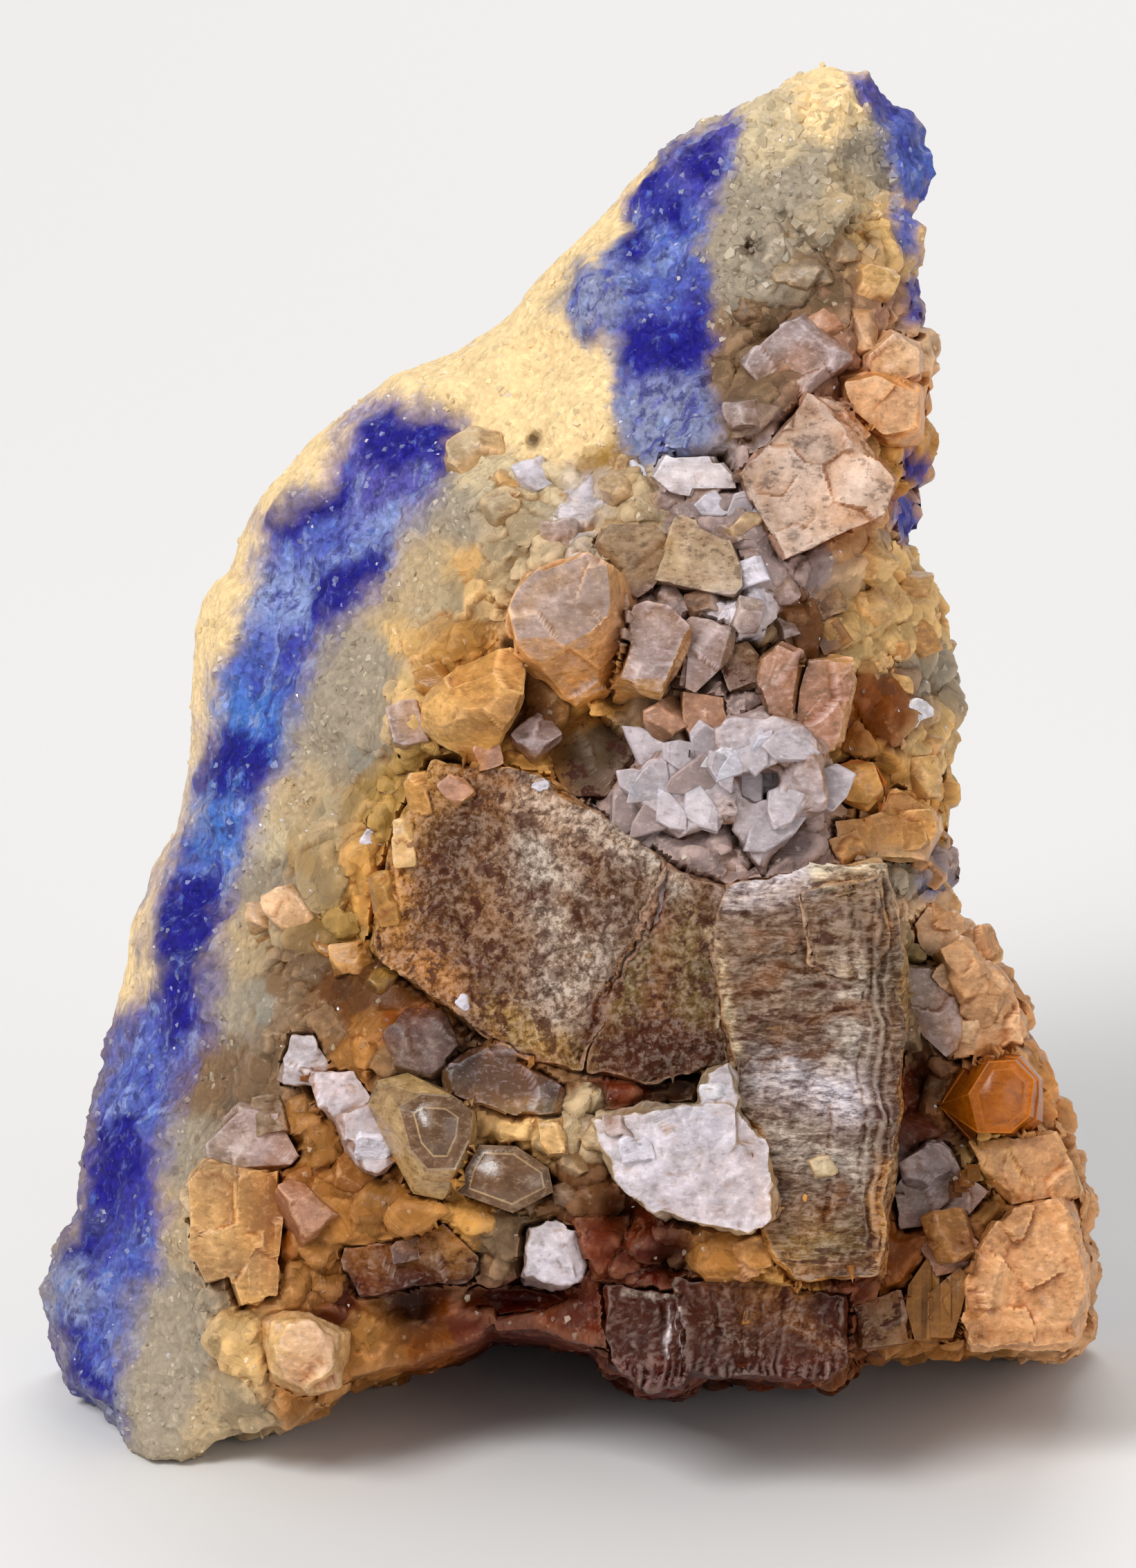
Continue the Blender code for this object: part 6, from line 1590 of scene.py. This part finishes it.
def crowd(tree, shapes, finishes, ground):
    """The small crystals between and on the big ones."""
    chance = random.Random(11)
    by_slot = {}

    def add(x, y, size, turn, shape, tone, wildness, sunk, chance):
        spot, way = seat_on(tree, x, y)
        if spot is not None:
            matrix = crystal_frame(spot, way, size, math.radians(turn), chance, wildness, sunk)
            by_slot.setdefault(slot_for(tone, chance), []).append((shape, matrix, tone))

    for x, y, width, height, turn, shape, tone in PLACED:
        own = random.Random(f"{x} {y}")
        sides = SHAPES[shape][1]
        size = (width / sides[0] * 1.25, height / sides[1] * 1.25, min(width, height) * 0.9)
        colour = linear(tone) * own.uniform(0.8, 1.0)
        add(x, y, size, turn, shape, colour, 0.12, own.uniform(0.12, 0.26), own)
    for outline, spacing, (low, high), kinds, tones, wildness, sunk in GROUPS:
        for x, y in scattered(outline, spacing, chance):
            own = random.Random(f"{x:.3f} {y:.3f}")
            length = own.uniform(low, high)
            size = (length, length * own.uniform(0.7, 1.0), length * own.uniform(0.5, 0.8))
            tone = linear(own.choice(tones)) * own.uniform(0.8, 1.05)
            turn, kind = own.uniform(0, 360), own.choice(kinds)
            add(x, y, size, turn, kind, tone, wildness, sunk + own.uniform(0, 0.15), own)
    leaves = []
    for outline, spacing, (low, high), tones in LEAVES:
        for x, y in scattered(outline, spacing, chance):
            own = random.Random(f"{x:.3f} {y:.3f}")
            spot, way = seat_on(tree, x, y)
            length = own.uniform(low, high)
            size = (length * 0.62, length * own.uniform(0.5, 0.8), length * 0.8)
            turn = math.radians(own.uniform(0, 360))
            tone = linear(own.choice(tones)) * own.uniform(0.85, 1.05)
            matrix = crystal_frame(spot, face_way(0, 1, 0.1), size, turn, own, 0.09, 0.04)
            leaves.append(("leaf", matrix, tone))
    strewn("white_leaves", leaves, shapes, finishes["white_calcite"], "white_calcite", chance)
    for slot, copies in sorted(by_slot.items()):
        piece = grown_together("small_" + slot, copies, shapes, 0.2, ground)
        done(piece, finishes[slot], slot)
        print(piece.name, len(copies), "copies", len(piece.data.polygons), "faces")


# How many places are tried for a grain
GRAIN_TRIES = 9000
# The coarse granular top of the stone
COARSE = [
    (53.0, 9.0), (57.0, 6.5), (61.5, 6.0), (64.5, 10.5), (65.5, 15.0), (63.0, 18.5), (56.0, 19.5),
    (53.0, 25.0), (51.8, 20.0), (52.6, 14.0),
]


def grains(tree, solids, rock, shapes, finishes):
    """Sugary grains on the ground, the rind and the blue band, and bare faces that glint."""
    chance = random.Random(12)
    skin = np.zeros(len(rock.data.vertices) * 4, np.float32)
    rock.data.attributes["skin"].data.foreach_get("color", skin)
    skin = skin.reshape(-1, 4)[:, :3].astype(float)
    eye = STAND @ Vector((0, -SIGHT, CENTRE_HEIGHT))
    sugar, glints = [], []
    tries = [(chance.uniform(3, 79), chance.uniform(4, 107)) for _ in range(GRAIN_TRIES)]
    tries += scattered(COARSE, 0.75, chance)
    for number, (x, y) in enumerate(tries):
        aim = (on_stone(x, y, 0) - eye).normalized()
        spot, way, face, gap = tree.ray_cast(eye, aim)
        if spot is None or solids.find_nearest(spot, 0.6 * MM)[0] is not None:
            continue
        coarse = number >= GRAIN_TRIES
        chance = random.Random(number)
        glint = chance.random() < 0.03
        tone = skin[rock.data.polygons[face].vertices[0]]
        on_blue = tone[2] > tone[0] * 1.25
        in_mica = inside(np.array([x]), np.array([y]), MICA_FIELD, 1.0)[0] > 0.5
        if not glint and not coarse and chance.random() < (0.9 if in_mica else 0.75 if on_blue else 0.1):
            continue
        length = chance.uniform(*((0.25, 0.45) if glint else (0.7, 1.5) if coarse else (0.4, 0.85)))
        size = (length, length * chance.uniform(0.7, 1.0), length * chance.uniform(0.6, 0.9))
        turn = chance.uniform(0, math.tau)
        matrix = crystal_frame(spot, way if way.dot(aim) < 0 else -way, size, turn, chance, 0.5, 0.3)
        if glint:
            glints.append(("chip", matrix, linear("white")))
        else:
            pale = chance.random() * (0.12 if on_blue else 0.35)
            pale *= 0.4 if coarse else 1.0
            tone = tone * chance.uniform(0.7, 1.12) * (1 - pale) + linear("cream_pale") * pale
            sugar.append(("grain", matrix, tone))
    strewn("sugar_grains", sugar, shapes, finishes["sugar"], "lapis", chance)
    strewn("glints", glints, shapes, finishes["glint"], "white_calcite", chance)


# The stage

# Millimetres of the face plane from the top of the picture to its foot
FRAME_HEIGHT = 113.4
# Soft lights: name, watts, width, place and the point that they are turned to
LIGHTS = (
    ("key", 7.5, 0.4, (-0.45, -0.55, 0.75), (0, 0, 0.05)),
    ("fill", 2.2, 0.7, (0.65, -0.60, 0.35), (0, 0, 0.05)),
    ("back", 3.0, 0.6, (0.10, 0.70, 0.60), (0, 0, 0.05)),
)


def make_stage():
    """Floor, soft lights and the camera."""
    hold_none()
    bpy.ops.mesh.primitive_plane_add(size=6, location=(0, 0, 0))
    floor = bpy.context.object
    floor.name = "floor"
    floor.data.materials.append(floor_finish())
    for name, power, size, place, aim in LIGHTS:
        light = bpy.data.lights.new(name, "AREA")
        light.energy = power
        light.size = size
        lamp = bpy.data.objects.new(name, light)
        lamp.location = place
        lamp.rotation_euler = (Vector(aim) - Vector(place)).to_track_quat("-Z", "Y").to_euler()
        bpy.context.collection.objects.link(lamp)
    world = bpy.data.worlds.new("studio")
    bpy.context.scene.world = world
    world.use_nodes = True
    world.node_tree.nodes["Background"].inputs["Color"].default_value = (1, 1, 1, 1)
    world.node_tree.nodes["Background"].inputs["Strength"].default_value = 0.40
    bpy.context.scene.view_settings.view_transform = "Standard"
    lens = bpy.data.cameras.new("camera")
    lens.sensor_width = 36
    lens.lens = lens.sensor_width * SIGHT / FRAME_HEIGHT
    lens.clip_start = 0.01
    camera = bpy.data.objects.new("camera", lens)
    camera.location = STAND @ Vector((0, -SIGHT, CENTRE_HEIGHT))
    camera.rotation_euler = (math.radians(90) - LEAN, 0, 0)
    bpy.context.collection.objects.link(camera)
    bpy.context.scene.camera = camera


def build():
    make_stage()
    finishes = {
        "book": book_finish(),
        "brown_mica": mica_finish("brown_mica", 0.6, "book_brown", "silver", 0.42, shine=0.24, fine=2.0),
        "golden_mica": mica_finish("golden_mica", 0.45, "amber", "peach_pale", 0.34, edge_highlight=0.65, glow=0.2),
        "lilac_mica": mica_finish("lilac_mica", 0.50, "grey_brown", "white_lilac", 0.36, edge_highlight=0.65, glow=0.12),
        "white_calcite": mica_finish("white_calcite", 0.35, "lilac", "white", 0.40, edge_highlight=0.25, glow=0.3),
        "clear_mica": mica_finish(
            "clear_mica", 0.5, "brown", "cream_pale", 0.14, 0.45, sheen=0.3, edge_highlight=0.6, shine=0.35
        ),
        "clear_amber": mica_finish(
            "clear_amber", 0.35, "dark_amber", "golden", 0.20, 0.25, sheen=0.1, edge_highlight=0.7, shine=0.22
        ),
        "sugar": mica_finish("sugar", 0.12, "beige", "cream_pale", 0.36),
        "glint": glint_finish(),
    }
    shapes = {name: modelled(name) for name in SHAPES}
    fillers = []
    for node in CRYSTALS:
        filler = merged_copy(node, node + "_filler")
        swell_out(filler, SEAT)
        fillers.append(filler)
    rock = make_rock(fillers, shapes)
    for filler in fillers:
        bpy.data.objects.remove(filler)
    ground = tree_of([rock])
    crystals = []
    for node in CRYSTALS:
        piece, slot = make_book(node, ground) if node in BOOKS else make_crystal(node, ground)
        done(piece, finishes["book" if node in BOOKS or node in SOMBRE else slot], slot, node)
        crystals.append(piece)
    print("crystals", sum(len(piece.data.polygons) for piece in crystals), "faces")
    crowd(tree_of(crystals + [rock]), shapes, finishes, ground)
    grains(ground, tree_of(crystals), rock, shapes, finishes)


build()
